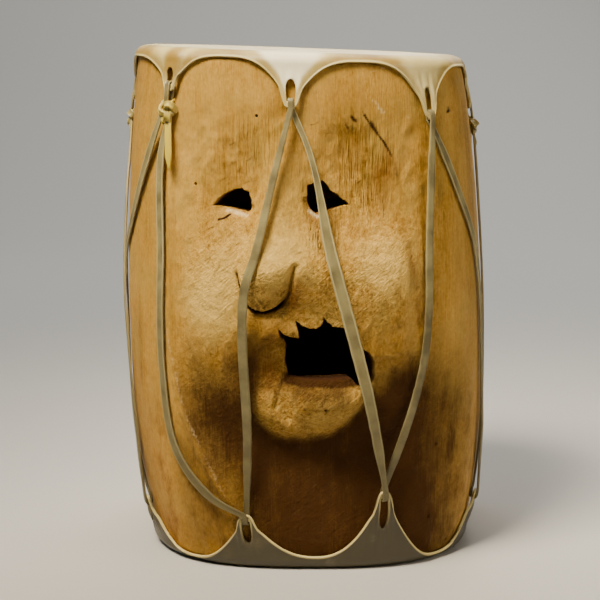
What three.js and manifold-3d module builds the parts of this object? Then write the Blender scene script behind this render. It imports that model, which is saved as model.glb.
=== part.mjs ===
import * as THREE from 'three';
import Module from 'manifold-3d';

// A ceremonial drum: a hollowed log with a face carved in its side, a rawhide
// head on each end and a rawhide thong that zigzags between the two heads.
// Millimetres, +Z up. The face looks along -Y. The origin is the middle of the
// flat underside of the bottom head, on which the drum stands.

const wasm = await Module();
wasm.setup();

// Driving sizes

// Log
const drumHeight = 404.5;
const bellyRadius = 144.5;
const bellyHeight = 187;
const footRadius = 127;
const topRadius = 129.5;
const footTaperPower = 2.9;
const topTaperPower = 1.9;
const leanAtTop = -8.8;
const topFall = 9.2;
const planPower = 2.7;
const wallThickness = 22;
const rimRounding = 8;

// Heads
const skinThickness = 2;
const skinGap = 0.5;
const tipHalfWidth = 3;
const barHeight = 5;
const slotWidth = 8;
const slotShare = 0.4;
const topArchPower = 3;
const footArchPower = 2.3;

// Thong
const laceWidth = 7;
const laceEndWidth = 4.4;
const laceThickness = 1.6;
const laceGap = 0.55;
const knotWidth = 17;
const knotHeight = 19;
const knotDepth = 9;
const knotDrop = 15;

// The carving is drawn on a face of 404.5 units of height, wrapped round the log
// at 140 units of radius, and its depths are in the same units.
const faceHeight = 404.5;
const faceRadius = 140;
const unit = drumHeight / faceHeight;

// Tips of the two heads: angle from the face's middle in degrees, and how far
// the tip reaches from the end of the drum.
const topTips = [[-46.3, 33], [-3.1, 43], [44.6, 51], [92, 48], [137, 41], [180, 48], [220, 40], [265, 46]];
const footTips = [[-20.9, 46], [24.6, 64], [74.8, 45], [118, 47], [160, 40], [200, 50], [242, 42], [291, 44]];
// How far the skin comes down at the middle of the arch after each tip.
const topArches = [5, 6, 8, 8, 6, 9, 7, 8];
const footArches = [11, 5, 6, 9, 6, 8, 7, 5];

// Sums used below
const rad = Math.PI / 180;
const skinCorner = rimRounding + skinGap + skinThickness;
const woodEnd = skinThickness + skinGap;
const skinLift = laceThickness + 2 * laceGap - skinGap;

// Shape helpers

function step(a, b, x) {
  const t = Math.min(1, Math.max(0, (x - a) / (b - a)));
  return t * t * (3 - 2 * t);
}

function bump(x, mid, low, high) {
  return x < mid ? step(low, mid, x) : step(high, mid, x);
}

// A smooth run through a few pairs, the first of each pair rising.
function curve(x, pairs) {
  const last = pairs.length - 1;
  const at = Math.min(pairs[last][0], Math.max(pairs[0][0], x));
  let i = 0;
  while (i < last - 1 && at >= pairs[i + 1][0]) i += 1;
  const slope = (k) => (pairs[k + 1][1] - pairs[k][1]) / (pairs[k + 1][0] - pairs[k][0]);
  const tangent = (k) => (k === 0 ? slope(0) : k === last ? slope(last - 1) : (slope(k - 1) + slope(k)) / 2);
  const width = pairs[i + 1][0] - pairs[i][0];
  const t = (at - pairs[i][0]) / width;
  const t2 = t * t;
  const t3 = t2 * t;
  return (2 * t3 - 3 * t2 + 1) * pairs[i][1] + (t3 - 2 * t2 + t) * width * tangent(i)
    + (3 * t2 - 2 * t3) * pairs[i + 1][1] + (t3 - t2) * width * tangent(i + 1);
}

// A soft round swelling: 1 in the middle, 0 on an ellipse turned by an angle.
function pad(s, z, midS, midZ, sizeS, sizeZ, turn, soft) {
  const c = Math.cos(turn);
  const n = Math.sin(turn);
  const a = s - midS;
  const b = z - midZ;
  return step(1, 1 - soft, Math.hypot((a * c + b * n) / sizeS, (b * c - a * n) / sizeZ));
}

// The log: its radius at a height, and the place of a point that is given by
// angle, radius and height. The log leans a little, is a little squarish in
// plan, and its top end falls away to the right.

function logRadius(z) {
  const kept = Math.min(drumHeight - skinCorner, Math.max(skinCorner, z));
  const share = kept < bellyHeight
    ? (bellyHeight - kept) / bellyHeight
    : (kept - bellyHeight) / (drumHeight - bellyHeight);
  return kept < bellyHeight
    ? bellyRadius - (bellyRadius - footRadius) * Math.pow(share, footTaperPower)
    : bellyRadius - (bellyRadius - topRadius) * Math.pow(share, topTaperPower);
}

function place(angle, radius, z) {
  const across = Math.sin(angle);
  const deep = Math.pow(Math.max(0, 1 - Math.pow(Math.abs(across), planPower)), 1 / planPower);
  const x = leanAtTop * z / drumHeight + radius * across;
  const y = -radius * Math.sign(Math.cos(angle)) * deep;
  const fall = topFall * (x + topRadius - leanAtTop) / (2 * topRadius);
  return new THREE.Vector3(x, y, z - fall * Math.pow(Math.max(0, z) / drumHeight, 6));
}

// The carved face as a height over the log. s runs round the log from the
// middle of the face, to the right, and z runs up, both in face units.

function carving(s, z) {
  const left = curve(z, [[0, -34], [47, -59], [100, -90], [163, -109], [248, -111], [363, -108]]);
  const right = curve(z, [[0, 146], [89, 144], [143, 134], [200, 118], [300, 104], [400, 96]]);
  // the whole face lies a little under the bark line
  let h = -2.2 * step(left - 0.5, left + 7, s) * step(right + 14, right - 10, s) * step(372, 330, z)
    * step(12, 50, z);
  // the throat is a broad hollow under the jaw
  const edge = 3.5 * step(left - 0.5, left + 8, s) * step(right, right - 20, s);
  const sag = edge + 11 * step(left, left + 78, s) * step(right + 4, 44, s);
  const jaw = Math.max(
    pad(s, z, -58, 196, 62, 100, 0.06, 0.62),
    pad(s, z, 64, 220, 62, 74, -0.15, 0.55),
    pad(s, z, 9, 190, 62, 76, 0, 0.3),
  );
  h -= sag * step(196, 100, z) * step(12, 104, z) * (1 - 0.94 * jaw);
  // the cut left a low bead along the left edge of the face
  h += 1.4 * bump(s, left - 3, left - 9, left + 2.5) * step(365, 300, z) * step(20, 60, z);
  // cheeks and muzzle
  h += 7 * pad(s, z, -66, 222, 58, 84, 0.06, 1);
  h += 8.5 * pad(s, z, 62, 230, 52, 70, -0.15, 1);
  h += 5 * pad(s, z, 12, 224, 52, 60, 0, 1);
  // the eye sockets fall in under the brow and come out again to the cheek
  const browLeft = curve(s, [[-98, 262], [-92, 284], [-80, 316], [-63, 340], [-33, 350], [-14, 356]]);
  const browRight = curve(s, [[0, 318], [9, 342], [25, 357], [49, 354], [70, 329], [88, 292]]);
  h -= 8.5 * bump(s, -52, -97, -10) * step(0, 26, browLeft - z) * step(238, 300, z);
  h -= 11 * bump(s, 36, -6, 92) * step(0, 22, browRight - z) * step(240, 300, z);
  // the nose is a wedge that leans to the left, cut off underneath in a leaf-shaped
  // facet, and a groove parts the facet from the muzzle on its right
  const ridge = curve(z, [[205, -28], [235, -27], [290, -20], [335, -14]]);
  const noseLeft = curve(z, [[205, 23], [240, 22], [290, 20], [345, 10]]);
  const noseRight = curve(z, [[205, 62], [240, 60], [262, 46], [290, 26], [345, 12]]);
  const noseRise = curve(z, [[205, 15.5], [238, 16], [262, 13], [290, 8], [320, 4], [345, 1], [356, 0]]);
  const side = s < ridge ? (ridge - s) / noseLeft : (s - ridge) / noseRight;
  const lower = curve(s, [[-50, 238], [-47.5, 226], [-45, 217], [-41, 212], [-34, 209.3], [-28, 210.2],
    [-21, 214.7], [-16, 220], [-12, 228.5], [-8, 235], [-4, 241.8], [0, 246]]);
  const upper = curve(s, [[-50, 240], [-45, 231], [-38, 229], [-32, 232.5], [-20, 237.5], [-8, 242],
    [0, 248]]);
  const facet = Math.min(1, Math.max(0, (z - lower) / (upper - lower)));
  const sharp = step(-1.6, 0.2, z - lower) * (0.5 + 0.5 * facet ** 0.9);
  const groove = curve(z, [[200, -38], [209.3, -29], [214.7, -21], [220, -16], [228.5, -12], [235, -8],
    [241.8, -4], [250, 2]]);
  const onward = step(-2.5, 5, s - groove);
  h += noseRise * step(1.15, 0.08, side) * (sharp * (1 - onward) + step(200, 252, z) * onward);
  h -= 3 * pad(s, z, -28, 202, 18, 10, -0.3, 1) * step(1.6, -1.6, z - lower);
  // a ramp runs into the left corner of the mouth, a crease round the right one
  h -= 12 * step(-46, -16, s) * step(6, -16, s) * step(110, 148, z) * step(194, 178, z);
  h -= 3 * pad(s, z, 54, 150, 14, 30, -0.1, 1);
  // chin
  const down = Math.min(0, z - 147);
  const chin = (Math.abs((s - 6 - 0.3 * down) / 45) ** 2.5 + Math.abs(down / 43) ** 2.5) ** 0.4;
  h += 14 * step(1.04, 0.72, chin) * step(163, 137, z);
  h += 3 * pad(s, z, 62, 122, 30, 30, -0.3, 0.8);
  return h;
}

function reliefAt(angle, z) {
  const turned = Math.atan2(Math.sin(angle), Math.cos(angle));
  return carving(turned * faceRadius, z / unit) * unit;
}

function woodRadius(angle, z) {
  return logRadius(z) + reliefAt(angle, z);
}

// A solid from corner points and triangles, and the boolean helpers

function solid(points, triangles) {
  const vertProperties = new Float32Array(points.flatMap((p) => [p.x, p.y, p.z]));
  const triVerts = new Uint32Array(triangles.flat());
  return new wasm.Manifold(new wasm.Mesh({ numProp: 3, vertProperties, triVerts }));
}

function geometryOf(body) {
  const mesh = body.getMesh();
  const geometry = new THREE.BufferGeometry();
  geometry.setAttribute('position', new THREE.BufferAttribute(new Float32Array(mesh.vertProperties), 3));
  geometry.setIndex(new THREE.BufferAttribute(new Uint32Array(mesh.triVerts), 1));
  geometry.computeVertexNormals();
  return geometry;
}

// Closed loops standing side by side round the axis, joined into one ring. Each
// loop is a list of { radius, z, key } with rising keys, and neighbours may
// have different numbers of points.
function ringOfLoops(angles, loops) {
  const points = [];
  const starts = [];
  loops.forEach((loop, j) => {
    starts.push(points.length);
    loop.forEach((p) => points.push(place(angles[j], p.radius, p.z)));
  });
  const triangles = [];
  loops.forEach((loop, j) => {
    const k = (j + 1) % loops.length;
    const other = loops[k];
    let a = 0;
    let b = 0;
    while (a < loop.length || b < other.length) {
      const nextA = a + 1 < loop.length ? loop[a + 1].key : Infinity;
      const nextB = b + 1 < other.length ? other[b + 1].key : Infinity;
      const first = starts[j] + (a % loop.length);
      const second = starts[k] + (b % other.length);
      if (b >= other.length || (a < loop.length && nextA <= nextB)) {
        a += 1;
        triangles.push([first, second, starts[j] + (a % loop.length)]);
      } else {
        b += 1;
        triangles.push([first, second, starts[k] + (b % other.length)]);
      }
    }
  });
  return solid(points, triangles);
}

// A prism that narrows toward the log's axis: an outline on the log's face,
// from outside the wood to inside the bore.
function radialCutter(outline, outside, inside) {
  const points = [];
  outline.forEach(([s, z]) => {
    points.push(place(s / faceRadius, outside, z * unit));
  });
  outline.forEach(([s, z]) => {
    points.push(place(s / faceRadius, inside, z * unit));
  });
  const flat = outline.map(([s, z]) => new THREE.Vector2(s, z));
  const faces = THREE.ShapeUtils.triangulateShape(flat, []);
  const n = outline.length;
  const triangles = [];
  faces.forEach(([a, b, c]) => {
    triangles.push([a, b, c]);
    triangles.push([c + n, b + n, a + n]);
  });
  for (let i = 0; i < n; i += 1) {
    const j = (i + 1) % n;
    triangles.push([i, i + n, j + n]);
    triangles.push([i, j + n, j]);
  }
  return solid(points, triangles);
}

// Drum body

function bodyAngles() {
  const list = [];
  for (let a = -49; a <= 49.1; a += 3.5) list.push(a);
  for (const a of [53, 59, 66, 74, 83]) {
    list.push(a);
    list.push(-a);
  }
  for (let a = 93; a < 268; a += 11) list.push(a);
  return list.sort((p, q) => p - q);
}

function bodyLoop(angle, degrees) {
  const low = woodEnd;
  const high = drumHeight - woodEnd;
  const fine = Math.abs(degrees) < 50;
  const middle = Math.abs(degrees) < 80;
  const loop = [];
  const add = (radius, z) => loop.push({ radius, z });
  const bore = (z) => logRadius(z) - wallThickness;
  const round = (z, turn) => logRadius(z) - rimRounding * (1 - Math.sin(turn));
  add(bore(low), low);
  for (const turn of [0, 45]) {
    add(round(low, turn * rad), low + rimRounding * (1 - Math.cos(turn * rad)));
  }
  const rows = [];
  const pitch = (fine ? 9 : middle ? 24 : 60) * unit;
  const first = low + rimRounding;
  const last = high - rimRounding;
  const count = Math.max(2, Math.round((last - first) / pitch));
  for (let i = 0; i <= count; i += 1) rows.push(first + (last - first) * i / count);
  rows.forEach((z) => add(woodRadius(angle, z), z));
  for (const turn of [45, 0]) {
    add(round(high, turn * rad), high - rimRounding * (1 - Math.cos(turn * rad)));
  }
  for (const share of [1, 0.67, 0.33]) {
    add(bore(low + (high - low) * share), low + (high - low) * share);
  }
  const outer = loop.length - 3;
  loop.forEach((p, i) => {
    p.key = i < outer ? p.z + i * 1e-6 : 2 * drumHeight - p.z;
  });
  loop[0].key = -1;
  return loop;
}

// The mouth: a straight lower lip, a bulging right side and a row of hanging
// lumps along the top that read as teeth.
const mouth = [
  [-16, 155], [-5, 154], [17, 153.6], [34, 154.6], [41, 148], [48, 144], [52.5, 147], [54.3, 153.3],
  [53.5, 164.6], [50, 171.9], [43.3, 177.1], [38, 186], [33.9, 192.9], [27, 194.6], [19.8, 195.3],
  [15.5, 199.4], [13.1, 202.6], [11.6, 196.9], [7.3, 193.7], [2.2, 194.1], [-2.9, 196.1], [-7.6, 200.2],
  [-5.7, 191.7], [-5.3, 186.4], [-10.8, 186.8], [-16.3, 189.5], [-20.2, 194.5], [-18.6, 186],
  [-17.1, 179.2], [-18.6, 167], [-16.3, 158],
];
const leftEye = [
  [-73.5, 285.9], [-64.5, 284.7], [-55.5, 282.7], [-44.9, 280.7], [-41.7, 284.3], [-41, 290.4],
  [-43.3, 296.4], [-49.6, 299.3], [-59, 297.2], [-66.8, 292.8],
];
const rightEye = [
  [3.3, 302.5], [2.9, 291.2], [4.5, 285.9], [9.6, 280.7], [17.8, 281.9], [28.4, 285.1], [37.8, 287.1],
  [30.8, 292], [22.1, 298], [15.5, 306.1], [12.8, 304.6], [10.4, 306.9], [7, 303.4],
];

function makeBody() {
  const degrees = bodyAngles();
  const angles = degrees.map((a) => a * rad);
  const loops = degrees.map((a) => bodyLoop(a * rad, a));
  let body = ringOfLoops(angles, loops);
  const outside = bellyRadius + 40;
  const inside = Math.min(footRadius, topRadius) - wallThickness - 30;
  for (const outline of [mouth, leftEye, rightEye]) {
    body = body.subtract(radialCutter(outline, outside, inside));
  }
  return body;
}

// Heads. The skin covers the end, turns over the rim and hangs in arches
// between tips. Each tip has a slot that the thong goes through.

// The neighbouring tips of an angle, with the way to it and the width between.
function tipsAround(degrees, tips) {
  for (let i = 0; i < tips.length; i += 1) {
    const start = tips[i][0];
    const next = tips[(i + 1) % tips.length];
    const span = ((next[0] - start) % 360 + 360) % 360;
    const way = ((degrees - start) % 360 + 360) % 360;
    if (way < span) return { i, span, way, reach: tips[i][1], nextReach: next[1] };
  }
  return null;
}

// How far the skin reaches from the end of the drum at an angle.
function skinReach(degrees, tips, arches, archPower) {
  const { i, span, way, reach, nextReach } = tipsAround(degrees, tips);
  const near = way < span / 2;
  const tip = near ? reach : nextReach;
  const off = (near ? way : span - way) * rad * bellyRadius;
  const half = span / 2 * rad * bellyRadius;
  const rise = (tip - arches[i]) * (1 - (1 - off / half) ** archPower);
  return tip - rise * step(tipHalfWidth - 1, tipHalfWidth + 6, off);
}

// How far the skin stands off the wood at a tip, for the thong behind it.
function liftAt(degrees, reach, tips) {
  const { span, way, reach: a, nextReach: b } = tipsAround(degrees, tips);
  const near = way < span / 2;
  const off = (near ? way : span - way) * rad * bellyRadius;
  const tip = near ? a : b;
  return skinLift * step(laceWidth * 2, laceWidth * 0.8, off) * step(tip - 32, tip - 14, reach);
}

// The radius of the skin's inner side, bridging the hollows of the carving.
function skinBed(degrees, reach, tips, atTop) {
  const z = atTop ? drumHeight - reach : reach;
  const relief = reliefAt(degrees * rad, z);
  return logRadius(z) + Math.max(relief, 0.35 * relief) + skinGap + liftAt(degrees, reach, tips);
}

function skinLoop(degrees, tips, arches, atTop) {
  const reach = skinReach(degrees, tips, arches, atTop ? topArchPower : footArchPower);
  const quarter = skinCorner * Math.PI / 2;
  const length = reach < skinCorner
    ? skinCorner * Math.acos(1 - reach / skinCorner)
    : quarter + reach - skinCorner;
  const runs = [0];
  for (const share of [0.5, 1]) {
    if (quarter * share < length - 1) runs.push(quarter * share);
  }
  const left = length - runs[runs.length - 1];
  const parts = Math.max(1, Math.ceil(left / 17));
  const from = runs[runs.length - 1];
  for (let i = 1; i <= parts; i += 1) runs.push(from + left * i / parts);
  const pointAt = (run, depth) => {
    const turn = Math.min(run / skinCorner, Math.PI / 2);
    const down = Math.max(0, run - quarter);
    const corner = skinCorner - depth;
    const drop = depth + corner * (1 - Math.cos(turn)) + down;
    const side = skinBed(degrees, Math.max(skinCorner, skinCorner + down), tips, atTop) + skinThickness;
    return { radius: side - skinCorner + corner * Math.sin(turn), z: atTop ? drumHeight - drop : drop };
  };
  const outer = runs.map((run) => pointAt(run, 0));
  const inner = runs.map((run) => pointAt(run, skinThickness));
  return { runs, outer, inner };
}

function skinAngles(tips) {
  const list = [];
  tips.forEach(([start], i) => {
    const span = ((tips[(i + 1) % tips.length][0] - start) % 360 + 360) % 360;
    const perMm = 1 / (bellyRadius * rad);
    const offsets = [tipHalfWidth - 1, tipHalfWidth + 3.5, tipHalfWidth + 12].map((o) => o * perMm);
    offsets.forEach((o) => list.push(start + o));
    const rest = span - 2 * offsets[2];
    const parts = Math.ceil(rest / perMm / 16.5);
    for (let k = 1; k < parts; k += 1) list.push(start + offsets[2] + rest * k / parts);
    offsets.reverse().forEach((o) => list.push(start + span - o));
  });
  return list.map((a) => (a > 312.5 ? a - 360 : a)).sort((p, q) => p - q);
}

function makeHead(tips, arches, atTop) {
  const degrees = skinAngles(tips);
  const columns = degrees.map((a) => skinLoop(a, tips, arches, atTop));
  const end = atTop ? drumHeight : 0;
  const under = atTop ? drumHeight - skinThickness : skinThickness;
  const points = [place(0, 0, end), place(0, 0, under)];
  const outerStart = [];
  const innerStart = [];
  columns.forEach((column, j) => {
    outerStart.push(points.length);
    column.outer.forEach((p) => points.push(place(degrees[j] * rad, p.radius, p.z)));
    innerStart.push(points.length);
    column.inner.forEach((p) => points.push(place(degrees[j] * rad, p.radius, p.z)));
  });
  const triangles = [];
  const face = (a, b, c) => triangles.push(atTop ? [a, b, c] : [a, c, b]);
  columns.forEach((column, j) => {
    const k = (j + 1) % columns.length;
    const other = columns[k];
    face(0, outerStart[j], outerStart[k]);
    face(1, innerStart[k], innerStart[j]);
    let a = 0;
    let b = 0;
    const lastA = column.runs.length - 1;
    const lastB = other.runs.length - 1;
    while (a < lastA || b < lastB) {
      const stepA = a < lastA && (b === lastB || column.runs[a + 1] <= other.runs[b + 1]);
      const nextA = stepA ? a + 1 : a;
      const nextB = stepA ? b : b + 1;
      const third = stepA ? outerStart[j] + nextA : outerStart[k] + nextB;
      face(outerStart[j] + a, third, outerStart[k] + b);
      const inside = stepA ? innerStart[j] + nextA : innerStart[k] + nextB;
      face(innerStart[j] + a, innerStart[k] + b, inside);
      a = nextA;
      b = nextB;
    }
    face(outerStart[j] + lastA, innerStart[j] + lastA, outerStart[k] + lastB);
    face(innerStart[j] + lastA, innerStart[k] + lastB, outerStart[k] + lastB);
  });
  let head = solid(points, triangles);
  for (const [angle, reach] of tips) {
    head = head.subtract(slotCutter(angle, reach, atTop));
  }
  return head;
}

// The slot of a tip: a narrow hole with pointed ends, above the tip's bar.
function slotCutter(degrees, reach, atTop) {
  const half = slotWidth / 2;
  const floor = laceEndWidth / 2 + 2 * laceGap;
  const slotLength = reach * slotShare;
  const shape = [[0, -floor], [0, floor], [slotLength * 0.3, half], [slotLength, half * 0.35],
    [slotLength, -half * 0.35], [slotLength * 0.3, -half]];
  const outline = shape.map(([up, across]) => {
    const z = atTop ? drumHeight - reach + barHeight + up : reach - barHeight - up;
    return [(degrees * rad + across / bellyRadius) * faceRadius, z / unit];
  });
  if (!atTop) outline.reverse();
  const middle = skinBed(degrees, reach - barHeight, atTop ? topTips : footTips, atTop);
  return radialCutter(outline, middle + 14, middle - 14);
}

// Thong. Its route runs over the log from tip to tip. Its height over the axis
// is that of a taut cord: it bridges the hollows and rests on what stands out.

// The least height over a row of points, as a taut cord takes it.
function taut(stations) {
  const hull = [];
  for (const p of stations) {
    while (hull.length > 1) {
      const a = hull[hull.length - 2];
      const b = hull[hull.length - 1];
      if ((b.radius - a.radius) * (p.way - a.way) > (p.radius - a.radius) * (b.way - a.way)) break;
      hull.pop();
    }
    hull.push(p);
  }
  let i = 0;
  return stations.map((p) => {
    while (i < hull.length - 2 && p.way > hull[i + 1].way) i += 1;
    const a = hull[i];
    const b = hull[i + 1];
    return { ...p, radius: a.radius + (b.radius - a.radius) * (p.way - a.way) / (b.way - a.way) };
  });
}

// The heights of the thong at a tip, behind the bar and in front of it, at a
// distance from the end of the drum.
function tipHeights(degrees, reach, tips, atTop) {
  const perMm = 1 / (bellyRadius * rad);
  const beds = [-tipHalfWidth, 0, tipHalfWidth].map((side) => (
    skinBed(degrees + side * perMm, reach, tips, atTop)));
  return {
    behind: Math.min(...beds) - laceGap - laceThickness / 2,
    before: Math.max(...beds) + skinThickness + laceGap + laceThickness / 2,
  };
}

function tipEnd(tip, atTop) {
  return atTop ? drumHeight - tip[1] : tip[1];
}

// The stations of one strand from under one tip to over the next one. The route
// is a list of points in face units, and next is the strand that starts behind
// the tip where this one ends, which this one clears.
function strand(route, startRadius, endRadius, next) {
  const count = route.length > 3 ? 16 : 8;
  const samples = [];
  const through = route.map(([s, z]) => new THREE.Vector3(s, z * unit, 0));
  const spline = new THREE.CatmullRomCurve3(through, false, 'catmullrom', 0.4);
  let way = 0;
  let before = null;
  for (let i = 0; i <= count; i += 1) {
    const p = spline.getPoint(i / count);
    if (before) way += before.distanceTo(p);
    before = p;
    const angle = p.x / faceRadius;
    let radius = 0;
    for (const side of [-0.5, 0, 0.5]) {
      for (const ahead of [-8, -4, 0, 4, 8]) {
        radius = Math.max(radius, woodRadius(angle + side * laceWidth / bellyRadius, p.y + ahead * unit));
      }
    }
    radius += laceGap + laceThickness / 2 + 0.3;
    if (next) radius = Math.max(radius, overNeighbour(angle, p.y, next));
    samples.push({ angle, z: p.y, way, radius });
  }
  samples[0].radius = startRadius;
  samples[count].radius = endRadius;
  return taut(samples);
}

// The height that clears another strand, where the two lie over each other.
function overNeighbour(angle, z, other) {
  for (let i = 0; i < other.length - 1; i += 1) {
    const a = other[i];
    const b = other[i + 1];
    if ((z - a.z) * (z - b.z) <= 0) {
      const t = (z - a.z) / (b.z - a.z || 1);
      const aside = Math.abs(a.angle + (b.angle - a.angle) * t - angle) * bellyRadius;
      const height = a.radius + (b.radius - a.radius) * t;
      if (aside < laceWidth + 1) return height + laceThickness + laceGap;
    }
  }
  return 0;
}

// The turn of the thong at a tip: over the bar, into the slot, down behind it.
function turnAtTip(tip, tips, atTop) {
  const angle = tip[0] * rad;
  const up = atTop ? 1 : -1;
  const onBar = barHeight - laceGap;
  const edge = tipEnd(tip, atTop) + up * onBar;
  const { behind, before } = tipHeights(tip[0], tip[1] - onBar, tips, atTop);
  const lower = tipHeights(tip[0], tip[1] - onBar / 2, tips, atTop);
  const middle = (behind + before) / 2;
  const turn = (before - behind) / 2;
  const route = [{ angle, radius: lower.before, z: edge - up * onBar / 2 }];
  for (const share of [0, 0.25, 0.5, 0.75, 1]) {
    const a = share * Math.PI;
    route.push({ angle, radius: middle + turn * Math.cos(a), z: edge + up * turn * Math.sin(a) });
  }
  route.push({ angle, radius: lower.behind, z: edge - up * onBar / 2 });
  return route;
}

// A flat cord of rectangular section along stations on the log.
function sweep(stations, width) {
  const middle = stations.map((p) => place(p.angle, p.radius, p.z));
  const points = [];
  stations.forEach((p, i) => {
    const following = middle[Math.min(i + 1, middle.length - 1)];
    const along = following.clone().sub(middle[Math.max(i - 1, 0)]).normalize();
    const across = place(p.angle + 0.01, p.radius, p.z).sub(place(p.angle - 0.01, p.radius, p.z));
    across.addScaledVector(along, -across.dot(along)).normalize();
    const out = along.clone().cross(across).multiplyScalar(laceThickness / 2);
    across.multiplyScalar((p.width ?? width) / 2);
    points.push(middle[i].clone().sub(across).sub(out));
    points.push(middle[i].clone().add(across).sub(out));
    points.push(middle[i].clone().add(across).add(out));
    points.push(middle[i].clone().sub(across).add(out));
  });
  const triangles = [[0, 3, 2], [0, 2, 1]];
  for (let i = 0; i < stations.length - 1; i += 1) {
    for (let k = 0; k < 4; k += 1) {
      const a = 4 * i + k;
      const b = 4 * i + (k + 1) % 4;
      triangles.push([a, b, b + 4]);
      triangles.push([a, b + 4, a + 4]);
    }
  }
  const end = points.length - 4;
  triangles.push([end, end + 1, end + 2]);
  triangles.push([end, end + 2, end + 3]);
  return solid(points, triangles);
}

// The lump of a knot under a tip of the top head.
function knotLump(tip, grow) {
  const angle = tip[0] * rad;
  const z = tipEnd(tip, true) - knotDrop;
  const bed = woodRadius(angle, z) + laceGap + knotDepth / 2;
  const middle = place(angle, bed, z);
  const geometry = new THREE.SphereGeometry(1, 9, 6);
  geometry.scale(knotWidth / 2 + grow, knotDepth / 2 + grow, knotHeight / 2 + grow);
  const facing = Math.atan2(middle.y - place(angle, bed - 5, z).y, middle.x - place(angle, bed - 5, z).x);
  geometry.rotateZ(facing + Math.PI / 2);
  geometry.translate(middle.x, middle.y, middle.z);
  const count = geometry.attributes.position.count;
  const seen = new Map();
  const points = [];
  const renumber = [];
  for (let i = 0; i < count; i += 1) {
    const p = new THREE.Vector3().fromBufferAttribute(geometry.attributes.position, i);
    const name = p.toArray().map((v) => v.toFixed(4)).join(' ');
    if (!seen.has(name)) {
      seen.set(name, points.length);
      points.push(p);
    }
    renumber.push(seen.get(name));
  }
  const triangles = [];
  for (let i = 0; i < geometry.index.count; i += 3) {
    const [a, b, c] = [0, 1, 2].map((k) => renumber[geometry.index.getX(i + k)]);
    if (a !== b && b !== c && c !== a) triangles.push([a, b, c]);
  }
  return solid(points, triangles);
}

// The small loop that ties a knot to its tip.
function tieLoop(tip) {
  const angle = tip[0] * rad;
  const z = tipEnd(tip, true) - knotDrop;
  const middle = woodRadius(angle, z) + laceGap + knotDepth / 2;
  const turn = turnAtTip(tip, topTips, true);
  const outer = { angle, radius: middle + 1.2, z };
  const inner = { angle, radius: middle - 1.2, z };
  return sweep([outer, ...turn, inner], laceEndWidth);
}

// One length of thong: from the knot under its first tip, through all the tips
// on its way, to the knot under its last tip.
function makeLace(first, visits, routes, last) {
  const knotSide = laceEndWidth / bellyRadius;
  const knotAt = (tip, side) => {
    const z = tipEnd(tip, true) - knotDrop;
    const angle = tip[0] * rad + side * knotSide;
    return { angle, z, radius: woodRadius(tip[0] * rad, z) + laceGap + knotDepth / 2 };
  };
  const ends = visits.map(({ tip, top }) => ({
    angle: tip[0] * rad,
    z: tipEnd(tip, top),
    ...tipHeights(tip[0], tip[1], top ? topTips : footTips, top),
  }));
  const start = knotAt(first, 1);
  const finish = knotAt(last, -1);
  const strands = [];
  for (let k = routes.length - 1; k >= 0; k -= 1) {
    const from = k === 0 ? start : ends[k - 1];
    const to = k === routes.length - 1 ? finish : ends[k];
    const low = [from.angle * faceRadius, from.z / unit];
    const high = [to.angle * faceRadius, to.z / unit];
    const route = [low, ...routes[k], high];
    strands[k] = strand(route, from.behind ?? from.radius, to.before ?? to.radius, strands[k + 1]);
  }
  const stations = [];
  strands.forEach((part, k) => {
    const length = part[part.length - 1].way;
    part.forEach((p) => {
      const fromEnd = Math.min(p.way, length - p.way);
      const full = step(knotHeight / 2, 3 * knotHeight, fromEnd);
      p.width = laceEndWidth + (laceWidth - laceEndWidth) * full;
    });
    stations.push(...part);
    if (k < visits.length) {
      const { tip, top } = visits[k];
      const turn = turnAtTip(tip, top ? topTips : footTips, top);
      turn.forEach((p) => stations.push({ ...p, width: laceEndWidth }));
    }
  });
  let lace = sweep(stations, laceWidth);
  lace = lace.subtract(knotLump(last, skinGap));
  return lace.add(knotLump(first, 0)).add(tieLoop(first));
}

function turnedOn(tip) {
  return [tip[0] + 360, tip[1]];
}

const frontRoutes = [
  [[-119, 324], [-118, 239], [-122, 160], [-112, 96], [-80, 60]],
  [[-46, 105], [-41, 222], [-33, 250], [-21, 306]],
  [[6, 326], [19, 250], [34, 184], [46, 131]],
  [[88, 136], [97, 173], [100, 246]],
  [[140, 296], [170, 241]],
  [],
];
const frontVisits = [
  { tip: footTips[0], top: false },
  { tip: topTips[1], top: true },
  { tip: footTips[1], top: false },
  { tip: topTips[2], top: true },
  { tip: footTips[2], top: false },
];
const backRoutes = [[], [], [], [], [], [], [], []];
const backVisits = [
  { tip: footTips[3], top: false },
  { tip: topTips[4], top: true },
  { tip: footTips[4], top: false },
  { tip: topTips[5], top: true },
  { tip: footTips[5], top: false },
  { tip: topTips[6], top: true },
  { tip: footTips[6], top: false },
];
const fullTurn = 2 * Math.PI * faceRadius;
const sideRoutes = [
  [],
  [[fullTurn - 187, 85], [fullTurn - 206, 150], [fullTurn - 200, 231], [fullTurn - 168, 272]],
];
const sideVisits = [{ tip: footTips[7], top: false }];

// Scene

const wood = new THREE.MeshStandardMaterial({ color: 0xc4935a, roughness: 0.75, metalness: 0 });
const rawhide = new THREE.MeshStandardMaterial({ color: 0xe0d5b2, roughness: 0.5, metalness: 0 });
const thong = new THREE.MeshStandardMaterial({ color: 0xb0a678, roughness: 0.55, metalness: 0 });

const group = new THREE.Group();

function addNode(name, body, material) {
  const mesh = new THREE.Mesh(geometryOf(body), material);
  mesh.name = name;
  group.add(mesh);
}

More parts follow.
